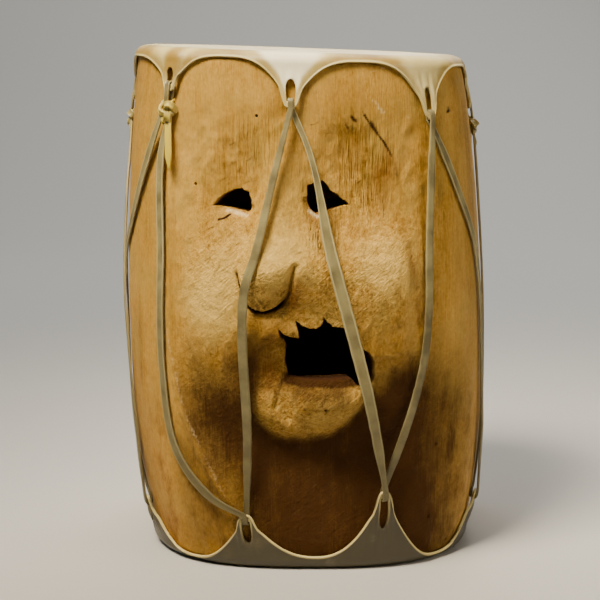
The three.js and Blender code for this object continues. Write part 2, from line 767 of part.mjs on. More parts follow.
addNode('drum_body', makeBody(), wood);
addNode('head_top', makeHead(topTips, topArches, true), rawhide);
addNode('head_bottom', makeHead(footTips, footArches, false), rawhide);
addNode('lace_front', makeLace(topTips[0], frontVisits, frontRoutes, topTips[3]), thong);
addNode('lace_back', makeLace(topTips[3], backVisits, backRoutes, topTips[7]), thong);
addNode('lace_side', makeLace(topTips[7], sideVisits, sideRoutes, turnedOn(topTips[0])), thong);

export default group;
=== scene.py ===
import math

import bmesh
import bpy
import numpy as np
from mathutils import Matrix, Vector, noise


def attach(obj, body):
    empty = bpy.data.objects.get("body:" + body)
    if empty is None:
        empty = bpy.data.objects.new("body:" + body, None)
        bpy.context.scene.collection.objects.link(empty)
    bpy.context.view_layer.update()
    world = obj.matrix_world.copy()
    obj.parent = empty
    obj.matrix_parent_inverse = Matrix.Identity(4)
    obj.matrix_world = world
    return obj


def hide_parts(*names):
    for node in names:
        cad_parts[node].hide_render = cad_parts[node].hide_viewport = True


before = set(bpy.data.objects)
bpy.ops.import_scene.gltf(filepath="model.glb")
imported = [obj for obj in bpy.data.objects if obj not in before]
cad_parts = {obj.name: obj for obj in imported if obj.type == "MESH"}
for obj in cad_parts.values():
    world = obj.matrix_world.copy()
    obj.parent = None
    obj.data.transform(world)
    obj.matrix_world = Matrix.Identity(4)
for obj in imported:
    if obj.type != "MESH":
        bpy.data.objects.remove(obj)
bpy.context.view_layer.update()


# Camera, floor and light. The photograph looks at the carved face from a little
# above the drum's top, through a long lens. The floor is a plain pale sheet. A soft
# key lamp is at the upper left, a weak fill at the right, and two lamps are behind.

def add_node(tree, kind, inputs=None, **settings):
    made = tree.nodes.new("ShaderNode" + kind)
    for name, value in settings.items():
        setattr(made, name, value)
    for name, value in (inputs or {}).items():
        if isinstance(value, bpy.types.NodeSocket):
            tree.links.new(value, made.inputs[name])
        else:
            made.inputs[name].default_value = value
    return made


def linear(code):
    shades = [int(code[i:i + 2], 16) / 255 for i in (1, 3, 5)]
    return [c / 12.92 if c <= 0.04045 else ((c + 0.055) / 1.055) ** 2.4 for c in shades] + [1.0]


def new_material(name):
    made = bpy.data.materials.new(name)
    made.use_nodes = True
    made.node_tree.nodes.clear()
    return made, made.node_tree

def to_object(shape, name):
    """Turns a bmesh into a smooth object in the scene."""
    mesh = bpy.data.meshes.new(name)
    shape.to_mesh(mesh)
    shape.free()
    mesh.shade_smooth()
    made = bpy.data.objects.new(name, mesh)
    bpy.context.scene.collection.objects.link(made)
    return made


camera = bpy.data.objects.new("camera", bpy.data.cameras.new("camera"))
camera.location = (-0.0086, -1.4, 0.42)
camera.rotation_euler = (math.radians(90 - 9.234), 0, 0)
# the focal length is 1692.6 pixels, and the photograph is 600 pixels wide
camera.data.sensor_width = 36
camera.data.lens = 36 * 1692.6 / 600
bpy.context.scene.collection.objects.link(camera)
bpy.context.scene.camera = camera

# matt paper, which throws a little light back up at the drum
floor_paint, tree = new_material("matt_studio_paper")
shader = add_node(tree, "BsdfPrincipled", {"Base Color": linear("#BDBAB3"), "Roughness": 0.9})
add_node(tree, "OutputMaterial", {"Surface": shader.outputs["BSDF"]})

# the paper lies flat, and sweeps up in a bend behind the drum
shape = bmesh.new()
bmesh.ops.create_grid(shape, x_segments=1, y_segments=1, size=8)
bmesh.ops.translate(shape, verts=shape.verts, vec=(0, -5, 0))
far_edge = [e for e in shape.edges if all(v.co.y > 2 for v in e.verts)]
raised = bmesh.ops.extrude_edge_only(shape, edges=far_edge)["geom"]
bmesh.ops.translate(shape, verts=[v for v in raised if isinstance(v, bmesh.types.BMVert)], vec=(0, 0, 5))
bend = [e for e in shape.edges if e.is_manifold and len(e.link_faces) == 2]
bmesh.ops.bevel(shape, geom=bend, affect="EDGES", offset=1.2, segments=16, profile=0.5, material=-1)
floor = to_object(shape, "floor")
floor.data.materials.append(floor_paint)


def add_lamp(name, position, target, size, power, colour, spread=180):
    data = bpy.data.lights.new(name, "AREA")
    data.shape = "SQUARE"
    data.size = size
    data.spread = math.radians(spread)
    data.energy = power
    data.color = linear(colour)[:3]
    lamp = bpy.data.objects.new(name, data)
    lamp.location = position
    lamp.rotation_euler = (Vector(target) - Vector(position)).to_track_quat("-Z", "Y").to_euler()
    bpy.context.scene.collection.objects.link(lamp)


add_lamp("key_lamp", (-0.66, -0.84, 2.0), (-0.02, -0.1, 0.32), 0.75, 6.3, "#FFF1DA", 38)
add_lamp("fill_lamp", (1.5, -0.9, 1.2), (0, 0, 0.28), 0.8, 1.1, "#FFF0D8", 50)
add_lamp("back_lamp", (0.7, 1.9, 1.6), (0, 0.6, 0.1), 1.5, 14, "#FFFFFF")
add_lamp("backdrop_lamp", (0, 0.9, 2.6), (0, 2.7, 0.2), 1.2, 50, "#FFFFFF")

world = bpy.data.worlds.new("studio")
world.use_nodes = True
world.node_tree.nodes["Background"].inputs["Color"].default_value = linear("#D8DADF")
world.node_tree.nodes["Background"].inputs["Strength"].default_value = 0.1
bpy.context.scene.world = world


# Drum body. One length of log, hollowed out to a wall of about 22 mm, with a face
# carved in its side and the eyes and mouth cut through. The wood is a pale aspen,
# rubbed and with some patina, painted darker as shade in its hollows and under the
# jaw and lighter as highlights on its high parts. Sizes are in millimetres.

HEIGHT = 404.5
BELLY_RADIUS = 144.5
BELLY_HEIGHT = 187
FOOT_RADIUS = 127
TOP_RADIUS = 129.5
FOOT_TAPER_POWER = 2.9
TOP_TAPER_POWER = 1.9
LEAN_AT_TOP = -8.8
TOP_FALL = 9.2
PLAN_POWER = 2.7
WALL = 22
RIM_ROUNDING = 8
SKIN = 2
SKIN_GAP = 0.5
FACE_RADIUS = 140
SKIN_CORNER = RIM_ROUNDING + SKIN_GAP + SKIN
WOOD_END = SKIN + SKIN_GAP


def step(a, b, x):
    t = np.clip((x - a) / (b - a), 0, 1)
    return t * t * (3 - 2 * t)


def bump(x, middle, low, high):
    return np.where(x < middle, step(low, middle, x), step(high, middle, x))


def curve(x, pairs):
    """A smooth run through a few pairs."""
    xs, ys = np.array(pairs, float).T
    slope = np.diff(ys) / np.diff(xs)
    tangent = np.concatenate([slope[:1], (slope[1:] + slope[:-1]) / 2, slope[-1:]])
    x = np.clip(x, xs[0], xs[-1])
    i = np.clip(np.searchsorted(xs, x, side="right") - 1, 0, len(xs) - 2)
    width = xs[i + 1] - xs[i]
    t = (x - xs[i]) / width
    return ((2 * t**3 - 3 * t**2 + 1) * ys[i] + (t**3 - 2 * t**2 + t) * width * tangent[i]
            + (3 * t**2 - 2 * t**3) * ys[i + 1] + (t**3 - t**2) * width * tangent[i + 1])


def pad(s, z, mid_s, mid_z, size_s, size_z, turn, soft):
    """A soft round swelling, 1 in the middle and 0 on a turned ellipse."""
    c, n = math.cos(turn), math.sin(turn)
    a, b = s - mid_s, z - mid_z
    return step(1, 1 - soft, np.hypot((a * c + b * n) / size_s, (b * c - a * n) / size_z))


def pads(s, z, rows):
    """The sum of swellings, each given as its height and its pad."""
    return sum(height * pad(s, z, *row) for height, *row in rows)


def log_radius(z):
    kept = np.clip(z, SKIN_CORNER, HEIGHT - SKIN_CORNER)
    under = np.maximum(0, BELLY_HEIGHT - kept) / BELLY_HEIGHT
    over = np.maximum(0, kept - BELLY_HEIGHT) / (HEIGHT - BELLY_HEIGHT)
    return (BELLY_RADIUS - (BELLY_RADIUS - FOOT_RADIUS) * under ** FOOT_TAPER_POWER
            - (BELLY_RADIUS - TOP_RADIUS) * over ** TOP_TAPER_POWER)


def place(angle, radius, z):
    """The point in millimetres at an angle from the face's middle, a radius and a height."""
    across = np.sin(angle)
    deep = np.maximum(0, 1 - np.abs(across) ** PLAN_POWER) ** (1 / PLAN_POWER)
    x = LEAN_AT_TOP * z / HEIGHT + radius * across
    y = -radius * np.sign(np.cos(angle)) * deep
    fall = TOP_FALL * (x + TOP_RADIUS - LEAN_AT_TOP) / (2 * TOP_RADIUS)
    return np.stack([x, y, z - fall * (np.maximum(0, z) / HEIGHT) ** 6], -1)


def off_line(s, z, line):
    """How far points are from a broken line through a few (s, z)."""
    nearest = 1e3
    for (s0, z0), (s1, z1) in zip(line, line[1:]):
        t = np.clip(((s - s0) * (s1 - s0) + (z - z0) * (z1 - z0)) / ((s1 - s0) ** 2 + (z1 - z0) ** 2), 0, 1)
        nearest = np.minimum(nearest, np.hypot(s - s0 - t * (s1 - s0), z - z0 - t * (z1 - z0)))
    return nearest


CHIN_TOP = 147
# the cut edge under the nose, from its left wing round to the bridge
NOSE_EDGE = [(-50, 236), (-47.5, 226), (-45, 217), (-41, 211.5), (-36, 208.4), (-30, 207.5), (-24, 209.5),
             (-18.5, 213.5), (-14.5, 218.5), (-11.5, 225), (-9.2, 232), (-7.8, 238), (-6.2, 243), (-4, 246)]


def chin_oval(s, up):
    """How far out points are on the chin, 0 in its middle and 1 at its edge."""
    return (np.abs((s - 6 - 0.3 * np.minimum(0, up)) / 45) ** 2.5 + np.abs(up / 43) ** 2.5) ** 0.4


def carving(s, z):
    """The carved face as a height over the log, at s round it from the middle and z up it."""
    left = curve(z, [(0, -34), (47, -59), (100, -90), (163, -109), (248, -111), (363, -108)])
    right = curve(z, [(0, 146), (89, 144), (143, 134), (200, 118), (300, 104), (400, 96)])
    # the whole face lies a little under the bark line
    h = (-2.2 * step(left - 0.5, left + 7, s) * step(right + 14, right - 10, s)
         * step(372, 330, z) * step(12, 50, z))
    # the throat is a broad hollow under the jaw
    edge = 3.5 * step(left - 0.5, left + 8, s) * step(right, right - 20, s)
    sag = edge + 11 * step(left, left + 78, s) * step(right + 4, 44, s)
    jaw = np.maximum.reduce([
        pad(s, z, -58, 196, 62, 100, 0.06, 0.62),
        pad(s, z, 64, 220, 62, 74, -0.15, 0.55),
        pad(s, z, 9, 190, 62, 76, 0, 0.3),
    ])
    h = h - sag * step(196, 100, z) * step(12, 104, z) * (1 - 0.94 * jaw)
    # the cut left a low bead along the left edge of the face
    h = h + 1.8 * bump(s, left - 3, left - 9, left + 2.5) * step(365, 300, z) * step(20, 60, z)
    # cheeks and muzzle
    h = h + 7 * pad(s, z, -66, 222, 58, 84, 0.06, 1)
    h = h + 8.5 * pad(s, z, 62, 230, 52, 70, -0.15, 1)
    h = h + 5 * pad(s, z, 12, 224, 52, 60, 0, 1)
    # the eye sockets fall in under the brow and come out again to the cheek
    brow_left = curve(s, [(-98, 262), (-92, 284), (-80, 316), (-63, 340), (-33, 350), (-14, 356)])
    brow_right = curve(s, [(0, 318), (9, 342), (25, 357), (49, 354), (70, 329), (88, 292)])
    h = h - 6 * bump(s, -52, -97, -10) * step(-8, 52, brow_left - z) * step(238, 296, z)
    h = h - 8 * bump(s, 36, -6, 92) * step(-6, 44, brow_right - z) * step(240, 296, z)
    # the nose is a wedge that leans to the left, cut off underneath in a leaf-shaped
    # facet, and a groove parts the facet from the muzzle on its right
    ridge = curve(z, [(205, -28), (235, -27), (290, -20), (335, -14)])
    nose_left = curve(z, [(205, 23), (240, 22), (290, 20), (345, 10)])
    nose_right = curve(z, [(205, 62), (240, 60), (262, 46), (290, 26), (345, 12)])
    nose_rise = curve(z, [(205, 15.5), (238, 16), (262, 13), (290, 8), (320, 4), (345, 1), (356, 0)])
    side = np.where(s < ridge, (ridge - s) / nose_left, (s - ridge) / nose_right)
    lower = curve(s, NOSE_EDGE)
    upper = curve(s, [(-50, 240), (-45, 232), (-38, 231), (-32, 233), (-20, 238), (-8, 245), (0, 251)])
    facet = np.maximum(np.clip((z - lower) / (upper - lower), 0, 1), step(-9, -4.5, s))
    inside = step(-0.7, 0.7, z - lower)
    onward = step(197, 246, z) * step(-24, -4, s)
    kept = inside * (0.42 + 0.58 * facet ** 0.9) + (1 - inside) * onward
    h = h + step(1.15, 0.08, side) * (nose_rise * kept)
    # the knife left a lip under the nose and a deep narrow gap along its cut edge
    lip = 5.5 * pad(s, z, -26, 194, 28, 22, 0, 1)
    gap = (2.5 + 5.5 * step(-9, -20, s)) * step(4.5, 0, off_line(s, z, NOSE_EDGE[3:-1]))
    h = h + (1 - inside) * (lip - gap)
    h = h - 1.6 * step(2.6, 0, off_line(s, z, NOSE_EDGE[:4]))
    # a ramp runs into the left corner of the mouth, a crease round the right one
    scoop_top = curve(s, [(-44, 176), (-33, 181), (-17, 185)])
    h = h - (13 * step(-44, -17, s) * step(4, -16, s) * step(112, 150, z)
             * step(scoop_top + 3, scoop_top - 3, z))
    h = h - 3 * pad(s, z, 54, 150, 14, 30, -0.1, 1)
    # the chin, with a crease at its left and a swelling at its right
    h = h - 1.8 * step(3.5, 0, off_line(s, z, [(-18, 156), (-21, 146), (-25, 132)]))
    chin = chin_oval(s, np.minimum(0, z - CHIN_TOP))
    h = h + 14 * step(1.12, 0.66, chin) * step(163, 137, z)
    h = h + 3 * pad(s, z, 62, 122, 30, 30, -0.3, 0.8)
    # the eyes' lower edges are cut back in a slanting chamfer
    for line in ([(-66, 285), (-55.5, 282.7), (-44.9, 280.7), (-42, 284)],
                 [(3, 290), (4.5, 285.9), (9.6, 280.7), (17, 281.9)]):
        h = h - 3.2 * step(4.6, 0, off_line(s, z, line))
    return h


def relief_at(angle, z):
    turned = np.arctan2(np.sin(angle), np.cos(angle))
    return carving(turned * FACE_RADIUS, z)


def wood_radius(angle, z):
    return log_radius(z) + relief_at(angle, z)


def rough(points, seed):
    """Smooth noise from -1 to 1 with features about 1 across."""
    shift = Vector((seed * 17.3, seed * 5.1, seed * 9.7))
    return np.array([noise.noise(Vector(p) + shift) for p in points])


def spaced(*runs):
    """Values from (start, end, pitch) runs that follow on from each other."""
    parts = [np.linspace(a, b, max(2, round(abs(b - a) / pitch) + 1))[:-1] for a, b, pitch in runs]
    return np.append(np.concatenate(parts), runs[-1][1])


def sheet_on(columns, rows):
    """A bmesh grid and the column and row of each of its points."""
    sheet = bmesh.new()
    bmesh.ops.create_grid(sheet, x_segments=columns - 1, y_segments=rows - 1, size=0.5)
    flat = np.array([v.co for v in sheet.verts])
    i = np.rint((flat[:, 0] + 0.5) * (columns - 1)).astype(int)
    j = np.rint((flat[:, 1] + 0.5) * (rows - 1)).astype(int)
    return sheet, i, j


def move_points(shape, points):
    for v, p in zip(shape.verts, points):
        v.co = p


def finish_mesh(shape, name):
    bmesh.ops.remove_doubles(shape, verts=shape.verts, dist=1e-6)
    bmesh.ops.recalc_face_normals(shape, faces=shape.faces)
    return to_object(shape, name)


# the grid is finest over the face
turns = np.radians(spaced((-180, -54, 3), (-54, -34, 0.7), (-34, 28, 0.4), (28, 54, 0.65), (54, 180, 3)))
# rows go up the outside, from the bore's foot over the rim, and down the bore
foot, top = WOOD_END, HEIGHT - WOOD_END
arc = np.radians(np.linspace(0, 90, 6))
outside = spaced((foot + RIM_ROUNDING, 98, 3), (98, 320, 1.1), (320, 356, 1.5), (356, top - RIM_ROUNDING, 3))
inside = np.linspace(top, foot, 9)
rise, back = RIM_ROUNDING * (1 - np.cos(arc[:-1])), RIM_ROUNDING * (1 - np.sin(arc[:-1]))
row_z = np.concatenate([[foot], foot + rise, outside, top - rise[::-1], inside])
row_in = np.concatenate([[WALL], back, 0 * outside, back[::-1], 0 * inside + WALL])
row_carved = np.concatenate([0 * arc, 0 * outside + 1, 0 * arc[1:], 0 * inside])

log, i, j = sheet_on(len(turns), len(row_z))
angle, z = turns[i], row_z[j]
outer = row_carved[j] > 0
radius = log_radius(z) - row_in[j] + np.where(outer, relief_at(angle, z), 0)
points = place(angle, radius, z)
# tool marks: the knife left shallow facets on the face and long flats on the log
scoops = -np.abs(rough(points / [11, 11, 17], 1)) - 0.4 * np.abs(rough(points / [5, 5, 7], 4))
flats = rough(points / [24, 24, 120], 2)
on_face = step(60, 40, np.abs(np.degrees(angle))) * step(380, 340, z)
radius = radius + np.where(outer, 1.4 * scoops * on_face + 0.9 * flats, 0.6 * flats)
move_points(log, place(angle, radius, z) / 1000)
drum_body = finish_mesh(log, "carved_log")


# a straight lower lip, a bulging right side and three hanging lumps along the top
mouth = [(-16, 155), (-5, 154), (17, 153.6), (34, 154.6), (41, 148), (48, 144), (52.5, 147), (54.3, 153.3),
         (53.5, 164.6), (50, 171.9), (43.3, 177.1), (38, 186), (33.9, 192.9), (27, 194.6), (19.8, 195.3),
         (15.5, 199.4), (13.1, 202.6), (11.6, 196.9), (7.3, 193.7), (2.2, 194.1), (-2.9, 196.1), (-7.6, 200.2),
         (-5.7, 191.7), (-5.3, 186.4), (-10.8, 186.8), (-16.3, 189.5), (-20.2, 194.5), (-18.6, 186),
         (-17.1, 179.2), (-18.6, 167), (-16.3, 158)]
left_eye = [(-73.5, 285.9), (-66.8, 292.8), (-59, 297.2), (-49.6, 299.3), (-43.3, 296.4), (-41, 290.4),
            (-41.7, 284.3), (-44.9, 280.7), (-55.5, 282.7), (-64.5, 284.7)]
right_eye = [(3.3, 302.5), (2.9, 291.2), (4.5, 285.9), (9.6, 280.7), (17.8, 281.9), (28.4, 285.1),
             (37.8, 287.1), (30.8, 292), (22.1, 298), (15.5, 306.1), (12.8, 304.6), (10.4, 306.9), (7, 303.4)]


def radial_cutter(outline, outside, inside, name):
    """A prism that narrows toward the log's axis, from outside the wood to inside the bore."""
    outline = np.array(outline)
    cutter = bmesh.new()
    ring = [cutter.verts.new(p) for p in place(outline[:, 0] / FACE_RADIUS, outside, outline[:, 1]) / 1000]
    cap = cutter.faces.new(ring)
    moved = bmesh.ops.extrude_face_region(cutter, geom=[cap])["geom"]
    inner = place(outline[:, 0] / FACE_RADIUS, inside, outline[:, 1]) / 1000
    for v in [v for v in moved if isinstance(v, bmesh.types.BMVert)]:
        v.co = inner[np.argmin([(v.co - old.co).length for old in ring])]
    bmesh.ops.triangulate(cutter, faces=[f for f in cutter.faces if len(f.verts) > 4])
    return finish_mesh(cutter, name)


def cut_with(target, cutters):
    """Cuts the target with each cutter and removes the cutters."""
    for cutter in cutters:
        modifier = target.modifiers.new(cutter.name, "BOOLEAN")
        modifier.operation = "DIFFERENCE"
        modifier.solver = "EXACT"
        modifier.object = cutter
    view = bpy.context.evaluated_depsgraph_get()
    cut = bpy.data.meshes.new_from_object(target.evaluated_get(view))
    target.modifiers.clear()
    old = target.data
    target.data = cut
    bpy.data.meshes.remove(old)
    for cutter in cutters:
        bpy.data.objects.remove(cutter)


CUT_OUTSIDE = 190
CUT_INSIDE = 80
openings = {"mouth_cut": mouth, "left_eye_cut": left_eye, "right_eye_cut": right_eye}
cut_with(drum_body, [radial_cutter(outline, CUT_OUTSIDE, CUT_INSIDE, name)
                     for name, outline in openings.items()])

# worm holes, each about 2.6 mm across
worm_holes = [(-35.1, 354.7), (-88.4, 301.7), (118.6, 95.4), (110.3, 36.8), (137.8, 13.3), (12.7, 132.6)]
drills = []
for k, (hole_s, hole_z) in enumerate(worm_holes):
    drill = bmesh.new()
    bmesh.ops.create_cone(drill, cap_ends=True, segments=10, radius1=0.0013, radius2=0.0013, depth=0.016)
    middle = place(hole_s / FACE_RADIUS, float(wood_radius(hole_s / FACE_RADIUS, hole_z)), hole_z) / 1000
    inward = Vector(middle * [1, 1, 0]).normalized()
    turn = Vector((0, 0, 1)).rotation_difference(inward)
    bmesh.ops.rotate(drill, verts=drill.verts, matrix=turn.to_matrix())
    bmesh.ops.translate(drill, verts=drill.verts, vec=middle)
    drills.append(finish_mesh(drill, f"worm_hole_{k}"))
cut_with(drum_body, drills)
drum_body.data.shade_smooth()


def add_shade(target, name, values):
    """Stores a number for each point of a mesh, for its material to read."""
    layer = target.data.attributes.new(name, "FLOAT", "POINT")
    layer.data.foreach_set("value", np.asarray(values, np.float32))


def points_of(target):
    flat = np.empty(len(target.data.vertices) * 3, np.float32)
    target.data.vertices.foreach_get("co", flat)
    return flat.reshape(-1, 3).astype(float) * 1000


def on_log(points):
    """The angle, radius and height of points, the other way round from place."""
    fall = TOP_FALL * (points[:, 0] + TOP_RADIUS - LEAN_AT_TOP) / (2 * TOP_RADIUS)
    z = points[:, 2] + fall * (np.maximum(0, points[:, 2]) / HEIGHT) ** 6
    x = points[:, 0] - LEAN_AT_TOP * z / HEIGHT
    radius = (np.abs(x) ** PLAN_POWER + np.abs(points[:, 1]) ** PLAN_POWER) ** (1 / PLAN_POWER)
    angle = np.arcsin(np.clip(x / np.maximum(radius, 1), -1, 1))
    return np.where(points[:, 1] > 0, np.pi * np.sign(angle + 1e-9) - angle, angle), radius, z


points = points_of(drum_body)
angle, radius, z = on_log(points)
s = angle * FACE_RADIUS
# painted shade and some patina darken the throat, the jaw and the lower half, the top of the chin and the
# hollow left of the mouth
edge_line = curve(z, [(50, -62), (67, -70.4), (102, -88.8), (127, -99.4), (159, -107.6), (190, -115),
                      (241, -124), (290, -127)])
throat = 0.66 * step(edge_line - 6, edge_line - 1, s) + 0.34 * step(edge_line, edge_line + 34, s)
throat = throat * step(196, 84, s) * step(214, 114, z)
chin = chin_oval(s, z - CHIN_TOP)
patina_and_shade = throat - 0.8 * step(1.14, 0.78, chin) + pads(s, z, [
    (0.25, 78, 142, 36, 36, 0, 1), (0.72, 4, 150, 52, 22, 0, 0.75), (0.5, -40, 172, 32, 38, 0.1, 1)])
patina_and_shade = np.maximum(patina_and_shade, 0.52 * step(-134, -104, s) * step(40, -40, s) * step(156, 90, z))
# a painted shadow line along the lower lip's edge, less painted shade at the right corner of the mouth, and
# painted shade on the nose's underside
patina_and_shade = patina_and_shade + 0.9 * step(148, 153, z) * step(158, 156, z) * step(-22, -14, s) * step(58, 50, s)
patina_and_shade = patina_and_shade + pads(s, z, [(-0.5, 57, 152, 16, 22, 0, 1), (0.25, -24, 222, 26, 18, -0.3, 0.8)])
# brown stain and painted shade in the right socket, beside and under the nose, by the mouth, at the top and
# toward the foot, and painted shade along the right cheek's crease
brown_stain_and_shade = pads(s, z, [
    (0.65, 66, 306, 20, 62, -0.25, 1), (0.45, 42, 326, 34, 44, 0, 1), (0.7, 12, 282, 20, 34, 0, 1),
    (0.5, -10, 212, 16, 26, -0.5, 1), (0.6, -30, 158, 20, 30, 0, 0.9), (0.5, 40, 372, 80, 34, 0, 1),
    (0.55, -7, 228, 12, 26, -0.3, 1), (0.5, -22, 188, 18, 18, 0, 0.8)])
brown_stain_and_shade = brown_stain_and_shade + 0.35 * step(BELLY_HEIGHT + 60, 60, z) + 0.28 * step(-112, -134, s)
brown_stain_and_shade = brown_stain_and_shade + 0.5 * step(9, 0, off_line(s, z, [(76, 280), (80, 250), (90, 214), (92, 196)]))
# worn pale, partly as painted highlights where the light falls, on the cheeks, the nose and the chin
wear_and_highlight = pads(s, z, [(1, -20, 250, 60, 60, 0, 1), (1, 60, 240, 50, 50, 0, 1), (1.3, -70, 214, 46, 60, 0, 1),
                   (0.6, 9, 124, 42, 20, 0, 1)])
# gouge marks in the eye sockets, and rasp marks on the muzzle, the cheeks and the chin
sockets = pads(s, z, [(0.6, -38, 326, 44, 46, 0, 0.9), (0.9, 50, 312, 40, 60, 0, 0.9),
                      (0.8, 16, 268, 22, 34, 0, 0.9)])
rasped = pads(s, z, [(1, 10, 214, 66, 44, 0, 0.8), (0.7, 66, 232, 50, 60, 0, 1), (0.5, -60, 232, 56, 60, 0, 1),
                     (1.3, -26, 224, 28, 20, -0.3, 0.6)])
rasped = rasped + 1.3 * step(1.15, 0.8, chin) + 0.15 * sockets + 0.6 * throat
rasped = rasped + 0.2 * step(-116, -90, s) * step(130, 100, s) * step(330, 290, z)
# fresh pale wood on the eyes' chamfers and a few scratches, the chamfers' pale also painted light, and a
# painted highlight along the left edge's bead
chamfers = np.minimum(off_line(s, z, [(-62, 282.6), (-54, 280.6), (-45, 278.6)]),
                      off_line(s, z, [(4.5, 283), (10, 278.5), (15, 279)]))
bead = step(2.2, 0.4, np.abs(s - edge_line + 1.5)) * step(40, 70, z) * step(260, 200, z)
pale_cuts_and_highlight = np.maximum(0.6 * step(2.6, 0.4, chamfers), 0.36 * bead)
for line in ([(57, 390), (70, 393.5)], [(55.5, 370), (65, 359)], [(60, 368), (69, 357)],
             [(88.6, 355), (90.6, 355)]):
    pale_cuts_and_highlight = np.maximum(pale_cuts_and_highlight, 0.5 * step(1.4, 0.3, off_line(s, z, line)))
# dark knots, stains along old cracks, and painted shade in the knife cuts and creases, each with its width and
# depth
dark_lines = [
    ([(40, 355), (43, 352)], 3.4, 0.85),
    ([(49, 358), (54, 351), (58, 346), (66, 336), (73, 325)], 2.2, 0.9),
    ([(56, 350), (60, 344)], 4.6, 0.7),
    ([(35, 349), (37, 346)], 2.5, 0.7),
    ([(75, 318), (80, 296)], 3.4, 0.5),
    ([(-17, 206), (-6, 199)], 5, 0.5),
    ([(0, 237), (5, 230)], 4, 0.4),
    ([(133.5, 372), (141.3, 355.5)], 1.6, 1.3),
    ([(-67.5, 275.5), (-63, 276.5), (-58.5, 279.4)], 1.5, 1.3),
    (NOSE_EDGE[:4], 1.8, 0.9),
    ([(-18, 156), (-21, 146), (-25, 132)], 2.2, 0.5),
    ([(-75, 268), (-70, 270)], 1.5, 0.7),
]
marks_and_shadow = np.maximum.reduce([dark * step(wide, 0, off_line(s, z, line)) for line, wide, dark in dark_lines])
# painted shadow in the gap under the nose's cut edge, darkest at its lower left
under_nose = step(0.5, -0.5, z - curve(s, NOSE_EDGE)) * step(5, 1, off_line(s, z, NOSE_EDGE[3:-1]))
marks_and_shadow = np.maximum(marks_and_shadow, (0.35 + 0.7 * step(-10, -22, s)) * under_nose)
# nicks where the knife caught, here and there over the face
draw = np.random.default_rng(7)
for _ in range(46):
    at_s, at_z, lean = draw.uniform(-92, 92), draw.uniform(110, 350), draw.normal(0.5, 0.5)
    half = draw.uniform(1.2, 3.4) * np.array([math.cos(lean), math.sin(lean)])
    nick = off_line(s, z, [(at_s - half[0], at_z - half[1]), (at_s + half[0], at_z + half[1])])
    marks_and_shadow = np.maximum(marks_and_shadow, draw.uniform(0.3, 0.62) * step(1.5, 0.2, nick))
shades = {"patina_and_shade": patina_and_shade, "brown_stain_and_shade": brown_stain_and_shade, "wear_and_highlight": wear_and_highlight, "gouged": sockets, "rough": rasped, "pale_cuts_and_highlight": pale_cuts_and_highlight,
          "marks_and_shadow": marks_and_shadow}
for name, shade in shades.items():
    add_shade(drum_body, name, np.clip(shade, 0, 1.4))
sunk = wood_radius(angle, z) - radius
add_shade(drum_body, "cut_depth", np.clip(sunk / WALL, 0, 1))

# oiled aspen: golden tan wood with brown streaks up the grain and fine knife
# marks, with patina and painted shade where the light doesn't reach, painted
# highlights on the high parts, and a soft shine where rubbed
aspen, tree = new_material("aspen_with_painted_shade")
where = add_node(tree, "TexCoord").outputs["Object"]


def pattern(tree, size, detail=4.0, roughness=0.55, distortion=0.0, lean=0):
    """Noise with features of a size in millimetres, across, deep and up, leaning over by some degrees."""
    turned = add_node(tree, "Mapping", {"Vector": where, "Scale": [v / 1000 for v in size],
                                        "Rotation": (0, math.radians(lean), 0)}, vector_type="TEXTURE")
    return add_node(tree, "TexNoise", {"Vector": turned.outputs["Vector"], "Scale": 1.0, "Detail": detail,
                                       "Roughness": roughness, "Distortion": distortion}).outputs["Fac"]


def set_stops(ramp, stops):
    """Gives a colour ramp its (position, colour) stops."""
    while len(ramp.elements) < len(stops):
        ramp.elements.new(0.5)
    for element, (position, colour) in zip(ramp.elements, stops):
        element.position = position
        element.color = linear(colour)


def sums(tree, *terms):
    """The sum of (texture, weight) pairs, each texture taken about its middle."""
    total = None
    for texture, weight in terms:
        centred = add_node(tree, "Math", {0: texture, 1: 0.5}, operation="SUBTRACT").outputs[0]
        inputs = {0: centred, 1: weight, 2: total if total is not None else 0.0}
        total = add_node(tree, "Math", inputs, operation="MULTIPLY_ADD").outputs[0]
    return total


def painted(tree, name, low, high, *breakup):
    """A painted shade from 0 to 1, broken up by (texture, weight) pairs."""
    shade = add_node(tree, "Attribute", attribute_name=name).outputs["Fac"]
    both = add_node(tree, "Math", {0: shade, 1: sums(tree, *breakup)}, operation="ADD").outputs[0]
    return add_node(tree, "MapRange", {"Value": both, "From Min": low, "From Max": high},
                    interpolation_type="SMOOTHSTEP").outputs["Result"]


bands = pattern(tree, (20, 20, 300), 4.0, 0.6, 0.3)
fibres = pattern(tree, (0.9, 0.9, 40), 3.0, 0.6)
mottle = pattern(tree, (12, 12, 15), 5.0, 0.62, 0.2)
flecks = pattern(tree, (2.6, 2.6, 3.2), 3.0, 0.62)
clouds = pattern(tree, (70, 70, 90), 4.0, 0.6, 0.4)
